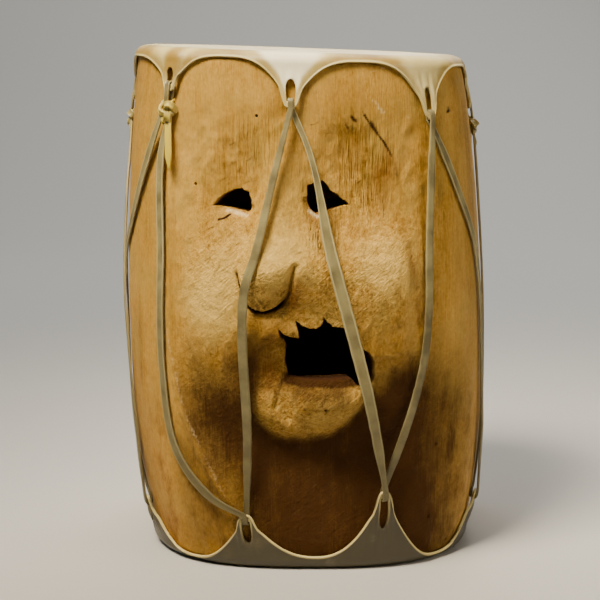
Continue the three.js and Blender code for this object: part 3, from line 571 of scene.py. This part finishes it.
# the rasp and the knife went over the face at a slant, and up and down in the sockets
rasp = pattern(tree, (1.1, 3, 6), 2.0, 0.5, 0.3, 52)
gouge = pattern(tree, (1.5, 4, 26), 2.0, 0.6, 0.1)
gouged = add_node(tree, "Attribute", attribute_name="gouged").outputs["Fac"]
roughness = add_node(tree, "Attribute", attribute_name="rough").outputs["Fac"]
cuts = add_node(tree, "Math", {0: sums(tree, (gouge, 3.2)), 1: gouged}, operation="MULTIPLY").outputs[0]
pits = sums(tree, (mottle, 0.9), (flecks, 1.4), (rasp, 0.8))
pitted = add_node(tree, "Math", {0: pits, 1: roughness, 2: cuts}, operation="MULTIPLY_ADD").outputs[0]
plain = sums(tree, (bands, 0.9), (fibres, 0.45), (clouds, 0.5), (mottle, 0.22), (flecks, 0.35))
tone = add_node(tree, "Math", {0: pitted, 1: 0.46, 2: plain}, operation="MULTIPLY_ADD").outputs[0]
tone = add_node(tree, "Math", {0: tone, 1: 0.5}, operation="ADD").outputs[0]
grain = add_node(tree, "ValToRGB", {"Fac": tone})
set_stops(grain.color_ramp, [(0.12, "#6E4A12"), (0.36, "#AE812C"), (0.56, "#CE9F46"), (0.85, "#E6BD60")])
patches = pattern(tree, (30, 30, 36), 5.0, 0.6, 0.5)
greened = add_node(tree, "MapRange", {"Value": patches, "From Min": 0.46, "From Max": 0.72,
                                      "To Max": 0.5}).outputs["Result"]
# painted shades: wear with painted highlights, brown stain with painted shade, patina with painted shade, dark
# marks with painted shadow, pale cuts with painted highlights
wear_and_highlight_mask = painted(tree, "wear_and_highlight", 0.1, 1.4, (mottle, 1.0), (flecks, 0.6))
brown_stain_and_shade_mask = painted(tree, "brown_stain_and_shade", 0.15, 1.1, (bands, 1.3), (mottle, 0.8), (fibres, 0.6))
patina_and_shade_mask = painted(tree, "patina_and_shade", -0.1, 1.0, (clouds, 0.4), (mottle, 0.5), (bands, 0.8), (fibres, 0.4))
marks_and_shadow_mask = painted(tree, "marks_and_shadow", 0.2, 0.9, (mottle, 1.0), (flecks, 0.8))
pale_cuts_and_highlight_mask = painted(tree, "pale_cuts_and_highlight", 0.2, 0.8, (mottle, 0.6), (flecks, 0.6))
# painted shade darkens the cuts through the wall, and the bore is paler again, partly as painted light in the
# hollow
cut = add_node(tree, "Attribute", attribute_name="cut_depth").outputs["Fac"]
deep, bore = (add_node(tree, "MapRange", {"Value": cut, "From Min": low, "From Max": high}).outputs["Result"]
              for low, high in ((0.03, 0.3), (0.8, 0.95)))
colour = grain.outputs["Color"]
for mask, shade in ((greened, "#AE9244"), (wear_and_highlight_mask, "#E9C265"), (brown_stain_and_shade_mask, "#7E4C0E"),
                    (patina_and_shade_mask, "#402502"), (marks_and_shadow_mask, "#341A08"), (pale_cuts_and_highlight_mask, "#E6CC96"),
                    (deep, "#45280F"), (bore, "#C48C4C")):
    colour = add_node(tree, "Mix", {"Factor": mask, "A": colour, "B": linear(shade)},
                      data_type="RGBA").outputs["Result"]
smooth_relief = sums(tree, (fibres, 0.34), (mottle, 0.1), (flecks, 0.1))
height = add_node(tree, "Math", {0: pitted, 1: 0.8, 2: smooth_relief}, operation="MULTIPLY_ADD").outputs[0]
relief = add_node(tree, "Bump", {"Height": height, "Strength": 1.0, "Distance": 0.0017})
gloss = add_node(tree, "MapRange", {"Value": mottle, "From Min": 0.3, "From Max": 0.7, "To Min": 0.4,
                                    "To Max": 0.56}).outputs["Result"]
gloss = add_node(tree, "Math", {0: patina_and_shade_mask, 1: 0.3, 2: gloss}, operation="MULTIPLY_ADD").outputs[0]
shader = add_node(tree, "BsdfPrincipled", {"Base Color": colour, "Roughness": gloss, "IOR": 1.5,
                                           "Specular IOR Level": 0.14, "Normal": relief.outputs["Normal"]})
add_node(tree, "OutputMaterial", {"Surface": shader.outputs["BSDF"]})
drum_body.data.materials.clear()
drum_body.data.materials.append(aspen)

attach(drum_body, "root")
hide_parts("drum_body")


# Heads. Each is a soaked rawhide skin pulled over the end of the log and dried
# hard. It turns down over the rim in arches between eight tips, and each tip has
# a slot for the thong. The cut edges have dried into a pale rolled rim.

# each tip's angle in degrees from the face's middle and its reach from the log's
# end, and the reach of the arch that follows it, for the top (True) and the foot
TOP_TIPS = [(-46.3, 33), (-3.1, 43), (44.6, 51), (92, 48), (137, 41), (180, 48), (220, 40), (265, 46)]
FOOT_TIPS = [(-20.9, 46), (24.6, 64), (74.8, 45), (118, 47), (160, 40), (200, 50), (242, 42), (291, 44)]
TIPS = {True: TOP_TIPS, False: FOOT_TIPS}
ARCHES = {True: [5, 6, 8, 8, 6, 9, 7, 8], False: [11, 5, 6, 9, 6, 8, 7, 5]}
ARCH_POWER = {True: 3, False: 2.3}
TIP_HALF_WIDTH = 3
BAR_HEIGHT = 5
SLOT_WIDTH = 8
SLOT_SHARE = 0.4
LACE_WIDTH = 7
LACE_END_WIDTH = 4.4
LACE_THICKNESS = 1.6
LACE_GAP = 0.55
SKIN_LIFT = LACE_THICKNESS + 2 * LACE_GAP - SKIN_GAP


def tips_around(degrees, at_top):
    """The arch that each angle is in, its width, how far off the nearer tip is, and that tip's reach."""
    starts, reaches = np.array(TIPS[at_top], float).T
    spans = np.mod(np.roll(starts, -1) - starts, 360)
    ways = np.mod(np.asarray(degrees, float)[..., None] - starts, 360)
    arch = np.argmax((ways < spans) & (ways >= 0), axis=-1)
    way = np.take_along_axis(ways, arch[..., None], -1)[..., 0]
    span = spans[arch]
    near = way < span / 2
    off = np.radians(np.where(near, way, span - way)) * BELLY_RADIUS
    tip = np.where(near, reaches[arch], np.roll(reaches, -1)[arch])
    return arch, np.radians(span / 2) * BELLY_RADIUS, off, tip


def skin_reach(degrees, at_top):
    """How far the skin comes down from its end of the log, by tips and arches."""
    arch, half, off, tip = tips_around(degrees, at_top)
    rise = (tip - np.array(ARCHES[at_top], float)[arch]) * (1 - (1 - off / half) ** ARCH_POWER[at_top])
    return tip - rise * step(TIP_HALF_WIDTH - 1, TIP_HALF_WIDTH + 6, off)


def skin_bed(degrees, reach, at_top):
    """The radius of the skin's inner side, which bridges the carving and lifts over the thong at a tip."""
    z = HEIGHT - reach if at_top else reach
    relief = relief_at(np.radians(degrees), z)
    _, _, off, tip = tips_around(degrees, at_top)
    lift = SKIN_LIFT * step(LACE_WIDTH * 2, LACE_WIDTH * 0.8, off) * step(tip - 32, tip - 14, reach)
    return log_radius(z) + np.maximum(relief, 0.35 * relief) + SKIN_GAP + lift


def slot_cutter(tip, at_top, name):
    """A cutter for the leaf-shaped slot of a tip, narrow over the bar and pointed at the other end."""
    degrees, reach = tip
    half, base = SLOT_WIDTH / 2, LACE_END_WIDTH / 2 + 2 * LACE_GAP
    flank = [(0, base), (0.2, base + 0.3), (0.45, half), (0.68, half), (0.84, half * 0.8), (0.95, half * 0.5)]
    leaf = [(0, -base)] + flank + [(1, 0)] + [(up, -across) for up, across in flank[:0:-1]]
    outline = []
    for up, across in leaf:
        way = reach - BAR_HEIGHT - up * reach * SLOT_SHARE
        s = (math.radians(degrees) + across / BELLY_RADIUS) * FACE_RADIUS
        outline.append((s, HEIGHT - way if at_top else way))
    middle = float(skin_bed(degrees, reach - BAR_HEIGHT, at_top))
    return radial_cutter(outline, middle + 14, middle - 14, name)


def make_head(name, at_top):
    # columns crowd near the tips, and rows near the cut edge
    offsets = np.degrees(np.array([0, 1, 2, 3, 4.2, 5.5, 7, 9, 11.5, 14, 17]) / BELLY_RADIUS)
    tips = TIPS[at_top]
    degrees = []
    for (start, _), (following, _) in zip(tips, tips[1:] + tips[:1]):
        span = (following - start) % 360
        middle = np.linspace(offsets[-1], span - offsets[-1], 34)[1:-1]
        degrees.extend(start + np.concatenate([offsets, middle, span - offsets[:0:-1]]))
    degrees = np.append(degrees, degrees[0] + 360)
    reach = skin_reach(degrees, at_top)
    quarter = SKIN_CORNER * math.pi / 2
    length = np.where(reach < SKIN_CORNER, SKIN_CORNER * np.arccos(np.clip(1 - reach / SKIN_CORNER, -1, 1)),
                      quarter + reach - SKIN_CORNER)
    flat = np.array([0.25, 0.5, 0.75, 0.9, 0.97])
    shares = np.append(np.linspace(0, 0.9, 23), [0.925, 0.95, 0.97, 0.985, 1])
    skin, i, j = sheet_on(len(degrees), len(flat) + len(shares))
    share = shares[np.maximum(0, j - len(flat))]
    run = length[i] * share
    turn = np.minimum(run / SKIN_CORNER, math.pi / 2)
    down = np.maximum(0, run - quarter)
    drop = SKIN_CORNER * (1 - np.cos(turn)) + down
    side = skin_bed(degrees[i], np.maximum(SKIN_CORNER, SKIN_CORNER + down), at_top) + SKIN
    radius = side - SKIN_CORNER + SKIN_CORNER * np.sin(turn)
    inner = j < len(flat)
    radius = np.where(inner, (side - SKIN_CORNER) * flat[np.minimum(j, len(flat) - 1)], radius)
    z = HEIGHT - drop if at_top else drop
    # the cut edge swells into a rolled rim, and pulls ripple the skin near a tip
    edge = (1 - share) * length[i]
    _, _, off, _ = tips_around(degrees[i], at_top)
    rim = 0.5 * step(1.7, 0.4, edge) * ~inner
    pull = 0.5 * np.sin(off * 0.9 + 0.8) * step(34, 8, off) * step(0, 12, run) * step(0, 8, edge)
    radius = radius + np.where(inner, 0, rim + pull * step(SKIN_CORNER, SKIN_CORNER + 14, drop))
    move_points(skin, place(np.radians(degrees[i]), radius, z) / 1000)
    centre = Vector(place(0, 0, HEIGHT if at_top else 0) / 1000)
    bmesh.ops.remove_doubles(skin, verts=skin.verts, dist=1e-6)
    hole = [e for e in skin.edges if e.is_boundary and (e.verts[0].co - centre).length < 0.05]
    cap = bmesh.ops.contextual_create(skin, geom=hole)["faces"]
    bmesh.ops.poke(skin, faces=cap)
    bmesh.ops.recalc_face_normals(skin, faces=skin.faces)
    up = sum(f.normal.z * f.calc_area() for f in skin.faces if abs(f.normal.z) > 0.9)
    if (up > 0) != at_top:
        bmesh.ops.reverse_faces(skin, faces=skin.faces)
    made = to_object(skin, name)
    wall = made.modifiers.new("hide thickness", "SOLIDIFY")
    wall.thickness = SKIN / 1000
    wall.offset = -1
    cut_with(made, [slot_cutter(t, at_top, f"{name}_slot_{k}") for k, t in enumerate(tips)])
    made.data.shade_smooth()
    return made


# brown patches of the two heads: angle, reach, width and height in mm, and depth of colour
BROWN_PATCHES = {
    True: [(-70, 6, 16, 16, 0.9), (-58, 22, 7, 16, 0.75), (-46, 12, 16, 20, 0.9), (-30, 4, 26, 6, 0.55),
           (14, 4, 20, 7, 0.6), (30, 6, 24, 8, 0.7), (62, 10, 16, 18, 0.75), (80, 6, 14, 14, 0.9),
           (120, 8, 20, 14, 0.7), (160, 10, 22, 10, 0.6), (-150, 8, 24, 14, 0.7), (-110, 10, 18, 12, 0.8)],
    False: [(-60, 14, 14, 22, 0.7), (-26, 12, 30, 14, 0.7), (0, 4, 30, 7, 0.8), (34, 10, 26, 16, 0.7),
            (62, 10, 14, 16, 0.8), (100, 10, 26, 14, 0.7), (150, 12, 22, 16, 0.7), (-160, 8, 24, 14, 0.7),
            (-110, 12, 22, 16, 0.8)],
}
MM_PER_DEGREE = 2.45


def skin_shades(head, at_top):
    angle, radius, z = on_log(points_of(head))
    reach = HEIGHT - z if at_top else z
    degrees = np.degrees(angle)
    edge = skin_reach(degrees, at_top) - reach
    _, _, off, tip = tips_around(degrees, at_top)
    slot_side = 0.6 * step(2, 0.6, np.abs(off - 3.6))
    near_slot = slot_side * step(tip * (1 - SLOT_SHARE) - BAR_HEIGHT - 2, tip - BAR_HEIGHT, reach)
    rim = step(1.9, 0.7, np.abs(edge)) * step(60, 90, radius)
    add_shade(head, "rim", np.clip(np.maximum(rim, near_slot), 0, 1))
    # yellow along the cut edge, and brown patches where hands and water got at the bend
    stain = 0.7 * step(18, 2, edge) * step(3, 10, off)
    turned = (degrees + 180) % 360 - 180
    for at, down, wide, tall, dark in BROWN_PATCHES[at_top]:
        away = np.hypot((turned - at) * MM_PER_DEGREE / wide, (reach - down) / tall)
        stain = np.maximum(stain, 1.1 * dark * step(1.3, 0.1, away))
    add_shade(head, "stain", np.clip(stain, 0, 1))
    # the top skin is bleached white over its middle and at the front tip; the bottom one is soiled and painted
    # darker as shade, and the top one a little toward its right side
    white = step(44, 26, reach) * step(24, 6, np.abs(turned + 5)) * step(2, 14, edge)
    white = white + 0.6 * step(124, 108, radius)
    soil_and_shade = 0.95 + 0.1 * step(30, 0, reach) + 0.15 * step(-30, 20, turned) * step(100, 60, turned)
    add_shade(head, "white", white * at_top)
    add_shade(head, "soil_and_shade", soil_and_shade * (not at_top) + 0.2 * at_top * step(10, 60, turned))


# rawhide: a creamy, slightly see-through hide, yellow to brown where it bends
# over the rim and pale along the cut edges, with a low shine
rawhide, tree = new_material("dried_rawhide")
where = add_node(tree, "TexCoord").outputs["Object"]
cloud = add_node(tree, "TexNoise", {"Vector": where, "Scale": 28.0, "Detail": 6.0,
                                    "Roughness": 0.62}).outputs["Fac"]
pores = add_node(tree, "TexNoise", {"Vector": where, "Scale": 700.0, "Detail": 3.0}).outputs["Fac"]
hide = add_node(tree, "ValToRGB", {"Fac": cloud})
set_stops(hide.color_ramp, [(0.3, "#C9B46A"), (0.62, "#E6D492")])
rim_shade = add_node(tree, "Attribute", attribute_name="rim").outputs["Fac"]
colour = hide.outputs["Color"]
# the soil mask is soil and painted shade, darkest on the bottom skin
for mask, shade in ((painted(tree, "stain", 0.1, 0.95, (cloud, 1.3)), "#A08034"),
                    (painted(tree, "soil_and_shade", 0.0, 1.0, (cloud, 1.0)), "#423B26"),
                    (painted(tree, "white", 0.1, 0.9, (cloud, 1.2)), "#FFF4CC"), (rim_shade, "#D2BF7C")):
    colour = add_node(tree, "Mix", {"Factor": mask, "A": colour, "B": linear(shade)},
                      data_type="RGBA").outputs["Result"]
relief = add_node(tree, "Bump", {"Height": pores, "Strength": 0.35, "Distance": 0.0003})
shader = add_node(tree, "BsdfPrincipled", {"Base Color": colour, "Roughness": 0.42, "IOR": 1.5,
                                           "Normal": relief.outputs["Normal"]})
add_node(tree, "OutputMaterial", {"Surface": shader.outputs["BSDF"]})

for name, at_top in (("head_top", True), ("head_bottom", False)):
    head = make_head(name + "_skin", at_top)
    skin_shades(head, at_top)
    head.data.materials.clear()
    head.data.materials.append(rawhide)
    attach(head, "root")
    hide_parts(name)


# Thong. A flat strip of the same hide zigzags between the heads: at each tip it
# goes over the bar, into the slot and out behind the bar. It is pulled taut, so
# it bridges the hollows of the face. It is knotted under three of the top tips.

KNOT_WIDTH = 17
KNOT_HEIGHT = 19
KNOT_DEPTH = 9
KNOT_DROP = 15


def taut(way, radius):
    """The heights of a taut cord over a row of points."""
    hull = []
    for k in range(len(way)):
        while len(hull) > 1:
            a, b = hull[-2], hull[-1]
            if (radius[b] - radius[a]) * (way[k] - way[a]) > (radius[k] - radius[a]) * (way[b] - way[a]):
                break
            hull.pop()
        hull.append(k)
    return np.interp(way, way[hull], radius[hull])


def tip_end(tip, at_top):
    return HEIGHT - tip[1] if at_top else tip[1]


def tip_heights(tip, reach, at_top):
    """The heights of the thong at a tip, behind its bar and in front of it."""
    aside = math.degrees(TIP_HALF_WIDTH / BELLY_RADIUS)
    beds = [float(skin_bed(tip[0] + side * aside, reach, at_top)) for side in (-1, 0, 1)]
    return min(beds) - LACE_GAP - LACE_THICKNESS / 2, max(beds) + SKIN + LACE_GAP + LACE_THICKNESS / 2


def over_neighbour(angle, z, other):
    """The height that clears another strand where the two lie over each other."""
    angles, radii, levels = other[np.argsort(other[:, 2])].T
    height = np.interp(z, levels, radii)
    inside = (z > levels[0] - 1) & (z < levels[-1] + 1)
    aside = np.abs(np.interp(z, levels, angles) - angle) * BELLY_RADIUS
    return np.where(inside & (aside < LACE_WIDTH + 2), height + LACE_THICKNESS + LACE_GAP, 0)


def strand(route, start_radius, end_radius, following):
    """Stations (angle, radius, z) of one strand, at even steps on a smooth line through a route of (s, z)."""
    route = np.array(route, float)
    way = np.append(0, np.cumsum(np.hypot(*np.diff(route, axis=0).T)))
    s, z = (curve(np.linspace(0, way[-1], 72), list(zip(way, ways))) for ways in route.T)
    angle = s / FACE_RADIUS
    way = np.append(0, np.cumsum(np.hypot(np.diff(s), np.diff(z))))
    sides = [wood_radius(angle + side * LACE_WIDTH / BELLY_RADIUS, z) for side in (-0.5, 0, 0.5)]
    radius = np.maximum.reduce(sides) + LACE_GAP + LACE_THICKNESS / 2 + 0.4
    if following is not None:
        radius = np.maximum(radius, over_neighbour(angle, z, following))
    radius[0], radius[-1] = start_radius, end_radius
    return np.stack([angle, taut(way, radius), z], -1)


def turn_at_tip(tip, at_top):
    """Stations over the bar of a tip, into its slot and out behind the bar."""
    angle = math.radians(tip[0])
    up = 1 if at_top else -1
    on_bar = BAR_HEIGHT - LACE_GAP
    edge = tip_end(tip, at_top) + up * on_bar
    behind, before = tip_heights(tip, tip[1] - on_bar, at_top)
    lower_behind, lower_before = tip_heights(tip, tip[1] - on_bar / 2, at_top)
    middle, reach = (behind + before) / 2, (before - behind) / 2
    stations = [(angle, lower_before, edge - up * on_bar / 2)]
    for a in np.linspace(0, math.pi, 9):
        stations.append((angle, middle + reach * math.cos(a), edge + up * reach * math.sin(a)))
    return np.array(stations + [(angle, lower_behind, edge - up * on_bar / 2)])


def unit(v):
    return v / np.maximum(np.linalg.norm(v, axis=-1, keepdims=True), 1e-9)


def add_strip(shape, middle, across, widths, thickness, seed, yellow=0.0):
    """Adds a flat strip of hide along points in mm, with cut edges that have curled up a little."""
    section = np.array([(-0.5, -0.3), (-0.42, -0.5), (-0.2, -0.5), (0, -0.46), (0.2, -0.5), (0.42, -0.5),
                        (0.5, -0.3), (0.5, 0.42), (0.45, 0.6), (0.38, 0.56), (0.32, 0.44), (0, 0.34),
                        (-0.32, 0.44), (-0.38, 0.56), (-0.45, 0.6), (-0.5, 0.42)])
    along = unit(np.gradient(middle, axis=0))
    across = unit(across - along * np.sum(across * along, -1, keepdims=True))
    out = np.cross(along, across)
    out *= np.sign(np.sum(out * (middle - [0, 0, 1]) * [1, 1, 0], -1, keepdims=True).mean() or 1)
    strip, i, j = sheet_on(len(section) + 1, len(middle))
    i = i % len(section)
    uneven = 1 + 0.09 * rough(middle / 7, seed)
    points = (middle[j] + across[j] * (section[i, 0] * widths[j] * uneven[j])[:, None]
              + out[j] * (section[i, 1] * thickness)[:, None])
    move_points(strip, points / 1000)
    rim = strip.verts.layers.float.new("rim")
    tint = strip.verts.layers.float.new("yellow")
    for v, k in zip(strip.verts, i):
        v[rim] = float(abs(section[k, 0]) > 0.37 and section[k, 1] > 0)
        v[tint] = yellow
    bmesh.ops.remove_doubles(strip, verts=strip.verts, dist=1e-6)
    bmesh.ops.holes_fill(strip, edges=[e for e in strip.edges if e.is_boundary], sides=0)
    bmesh.ops.recalc_face_normals(strip, faces=strip.faces)
    part = bpy.data.meshes.new("part")
    strip.to_mesh(part)
    strip.free()
    shape.from_mesh(part)
    bpy.data.meshes.remove(part)


def along_log(stations):
    """Points in mm of stations on the log, and the way across them there."""
    angle, radius, z = stations.T
    return place(angle, radius, z), place(angle + 0.01, radius, z) - place(angle - 0.01, radius, z)


def knot_at(tip, side=0):
    """The angle, radius and height of the middle of the knot under a top tip."""
    z = tip_end(tip, True) - KNOT_DROP
    angle = math.radians(tip[0])
    bed = float(wood_radius(angle, z)) + LACE_GAP + KNOT_DEPTH / 2
    return np.array([angle + side * LACE_END_WIDTH / BELLY_RADIUS, bed, z])


def add_knot(shape, tip, seed):
    """An overhand knot, the loop that ties it to its tip, and its loose tails."""
    middle = knot_at(tip)
    # the cord winds round itself three times, as in a pulled overhand knot
    t = np.linspace(0, 2 * math.pi, 61) + 0.4 * seed
    u = (np.sin(t) + 2 * np.sin(2 * t)) * (KNOT_WIDTH / 2 - 2.2) / 2.7
    v = (np.cos(t) - 2 * np.cos(2 * t)) * (KNOT_HEIGHT / 2 - 2.2) / 3
    w = -np.sin(3 * t) * 2.3
    points, _ = along_log(middle + np.stack([u / BELLY_RADIUS, w, v], -1))
    centre = place(*middle)
    across = np.cross(np.gradient(points, axis=0), points - centre + 4 * unit(centre * [1, 1, 0]))
    add_strip(shape, points, across, np.full(len(t), 5.2), 2.4, seed, 0.6 if seed == 1 else 0.15)
    loop = np.concatenate([[middle + [0, 1.2, 0]], turn_at_tip(tip, True), [middle - [0, 1.2, 0]]])
    points, across = along_log(loop)
    add_strip(shape, points, across, np.full(len(loop), LACE_END_WIDTH), LACE_THICKNESS, seed)
    # pointed tails stick out of the knot and curl down: way round, length and width
    tails = [(0.2, 46, 5.6), (-0.7, 14, 4.6), (2.2, 15, 4.6), (-2.3, 14, 4.6), (1.3, 12, 4.2)]
    if seed > 1:
        tails = [(-0.5, 22, 4.4), (0.75, 15, 4.4), (2.3, 12, 4.2), (-2.1, 13, 4.2)]
    run = np.linspace(0, 1, 16)
    for k, (turn, length, width) in enumerate(tails):
        angle = middle[0] + length * run * math.sin(turn) * (1 - 0.5 * run) / BELLY_RADIUS
        z = middle[2] - length * run * math.cos(turn)
        curl = 1.5 + 3.2 * np.sin(run * math.pi * 0.9) + 0.6 * np.sin(run * 7 + seed + k)
        radius = np.maximum(wood_radius(angle, z) + curl + 0.8, (1 - run * 2.2) * middle[1])
        points, across = along_log(np.stack([angle, radius, z], -1))
        widths = width * step(1.04, 0.75 if length > 20 else 0.2, run) + 0.4
        add_strip(shape, points, across, widths, 1.3, seed + k + 3, 1.0 if seed == 1 and k < 3 else 0.3)


def make_lace(name, first, last, routes, widths, seed):
    """One length of thong, from the knot under one top tip to the knot under another."""
    tops = TOP_TIPS + [(TOP_TIPS[0][0] + 360, TOP_TIPS[0][1])]
    visits = [(FOOT_TIPS[first], False)]
    for k in range(first + 1, last):
        visits += [(TOP_TIPS[k], True), (FOOT_TIPS[k], False)]
    # each strand starts behind one tip and ends in front of the next
    starts, stops = [knot_at(tops[first], 1)], []
    for tip, at_top in visits:
        behind, before = tip_heights(tip, tip[1], at_top)
        starts.append((math.radians(tip[0]), behind, tip_end(tip, at_top)))
        stops.append((math.radians(tip[0]), before, tip_end(tip, at_top)))
    stops.append(knot_at(tops[last], -1))
    strands = [None]
    for a, b, route in reversed(list(zip(starts, stops, routes))):
        route = [(a[0] * FACE_RADIUS, a[2])] + route + [(b[0] * FACE_RADIUS, b[2])]
        strands.insert(0, strand(route, a[1], b[1], strands[0]))
    stations, wide = [], []
    for k, part in enumerate(strands[:-1]):
        middle, _ = along_log(part)
        way = np.append(0, np.cumsum(np.linalg.norm(np.diff(middle, axis=0), axis=1)))
        from_end = np.minimum(way, way[-1] - way)
        full = curve(way / way[-1], widths[k])
        stations.append(part)
        wide.append(LACE_END_WIDTH + (full - LACE_END_WIDTH) * step(6, 40, from_end))
        if k < len(visits):
            stations.append(turn_at_tip(*visits[k]))
            wide.append(np.full(len(stations[-1]), LACE_END_WIDTH))
    points, across = along_log(np.concatenate(stations))
    lace = bmesh.new()
    lace.verts.layers.float.new("rim")
    lace.verts.layers.float.new("yellow")
    add_strip(lace, points, across, np.concatenate(wide), LACE_THICKNESS, seed)
    add_knot(lace, tops[first], seed)
    return to_object(lace, name + "_thong")


# thong: narrow strips of the same hide, darker and greener from handling and
# grease, painted darker as shade toward the foot, with pale cut edges and a knot gone yellow
strip_hide, tree = new_material("handled_rawhide_strip")
where = add_node(tree, "TexCoord").outputs["Object"]
cloud = add_node(tree, "TexNoise", {"Vector": where, "Scale": 60.0, "Detail": 5.0}).outputs["Fac"]
hide = add_node(tree, "ValToRGB", {"Fac": cloud})
set_stops(hide.color_ramp, [(0.35, "#706540"), (0.65, "#A09462")])
rim_shade = add_node(tree, "Attribute", attribute_name="rim").outputs["Fac"]
# painted shade darkens the strips toward the foot
height = add_node(tree, "SeparateXYZ", {"Vector": where}).outputs["Z"]
toward_foot = add_node(tree, "MapRange", {"Value": height, "From Min": 0.24, "From Max": 0.05,
                                          "To Max": 0.85}).outputs["Result"]
yellow = add_node(tree, "Attribute", attribute_name="yellow").outputs["Fac"]
colour = hide.outputs["Color"]
for mask, shade in ((rim_shade, "#B9AB76"), (toward_foot, "#4C4222"), (yellow, "#E0C440")):
    colour = add_node(tree, "Mix", {"Factor": mask, "A": colour, "B": linear(shade)},
                      data_type="RGBA").outputs["Result"]
relief = add_node(tree, "Bump", {"Height": cloud, "Strength": 0.4, "Distance": 0.0005})
shader = add_node(tree, "BsdfPrincipled", {"Base Color": colour, "Roughness": 0.45,
                                           "Normal": relief.outputs["Normal"]})
add_node(tree, "OutputMaterial", {"Surface": shader.outputs["BSDF"]})

# the ways of the strands over the log as (s, z) points between their two ends
FULL_TURN = 2 * math.pi * FACE_RADIUS
front_routes = [
    [(-119, 324), (-118, 239), (-122, 160), (-112, 96), (-80, 60)],
    [(-46, 105), (-41, 222), (-33, 250), (-21, 306)],
    [(6, 326), (19, 250), (34, 184), (46, 131)],
    [(88, 136), (97, 173), (100, 246)],
    [(140, 296), (170, 241)],
    [],
]
side_routes = [[], [(FULL_TURN - 187, 85), (FULL_TURN - 206, 150), (FULL_TURN - 200, 231),
                    (FULL_TURN - 168, 272)]]
# and their widths in mm, from their start (0) to their end (1)
even = [(0, 7), (1, 7)]
front_widths = [even, [(0, 6), (0.45, 7.2), (0.7, 6), (1, 4)], [(0, 4.2), (0.2, 5), (0.35, 8.6), (1, 7)],
                [(0, 6.5), (1, 6.2)], even, even]
# each length's first and last top tip, the first again as the ninth
laces = {
    "lace_front": (0, 3, front_routes, front_widths),
    "lace_back": (3, 7, [[]] * 8, [even] * 8),
    "lace_side": (7, 8, side_routes, [even] * 2),
}
for seed, (name, (first, last, routes, widths)) in enumerate(laces.items()):
    lace = make_lace(name, first, last, routes, widths, seed + 1)
    lace.data.materials.append(strip_hide)
    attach(lace, "root")
    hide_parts(name)
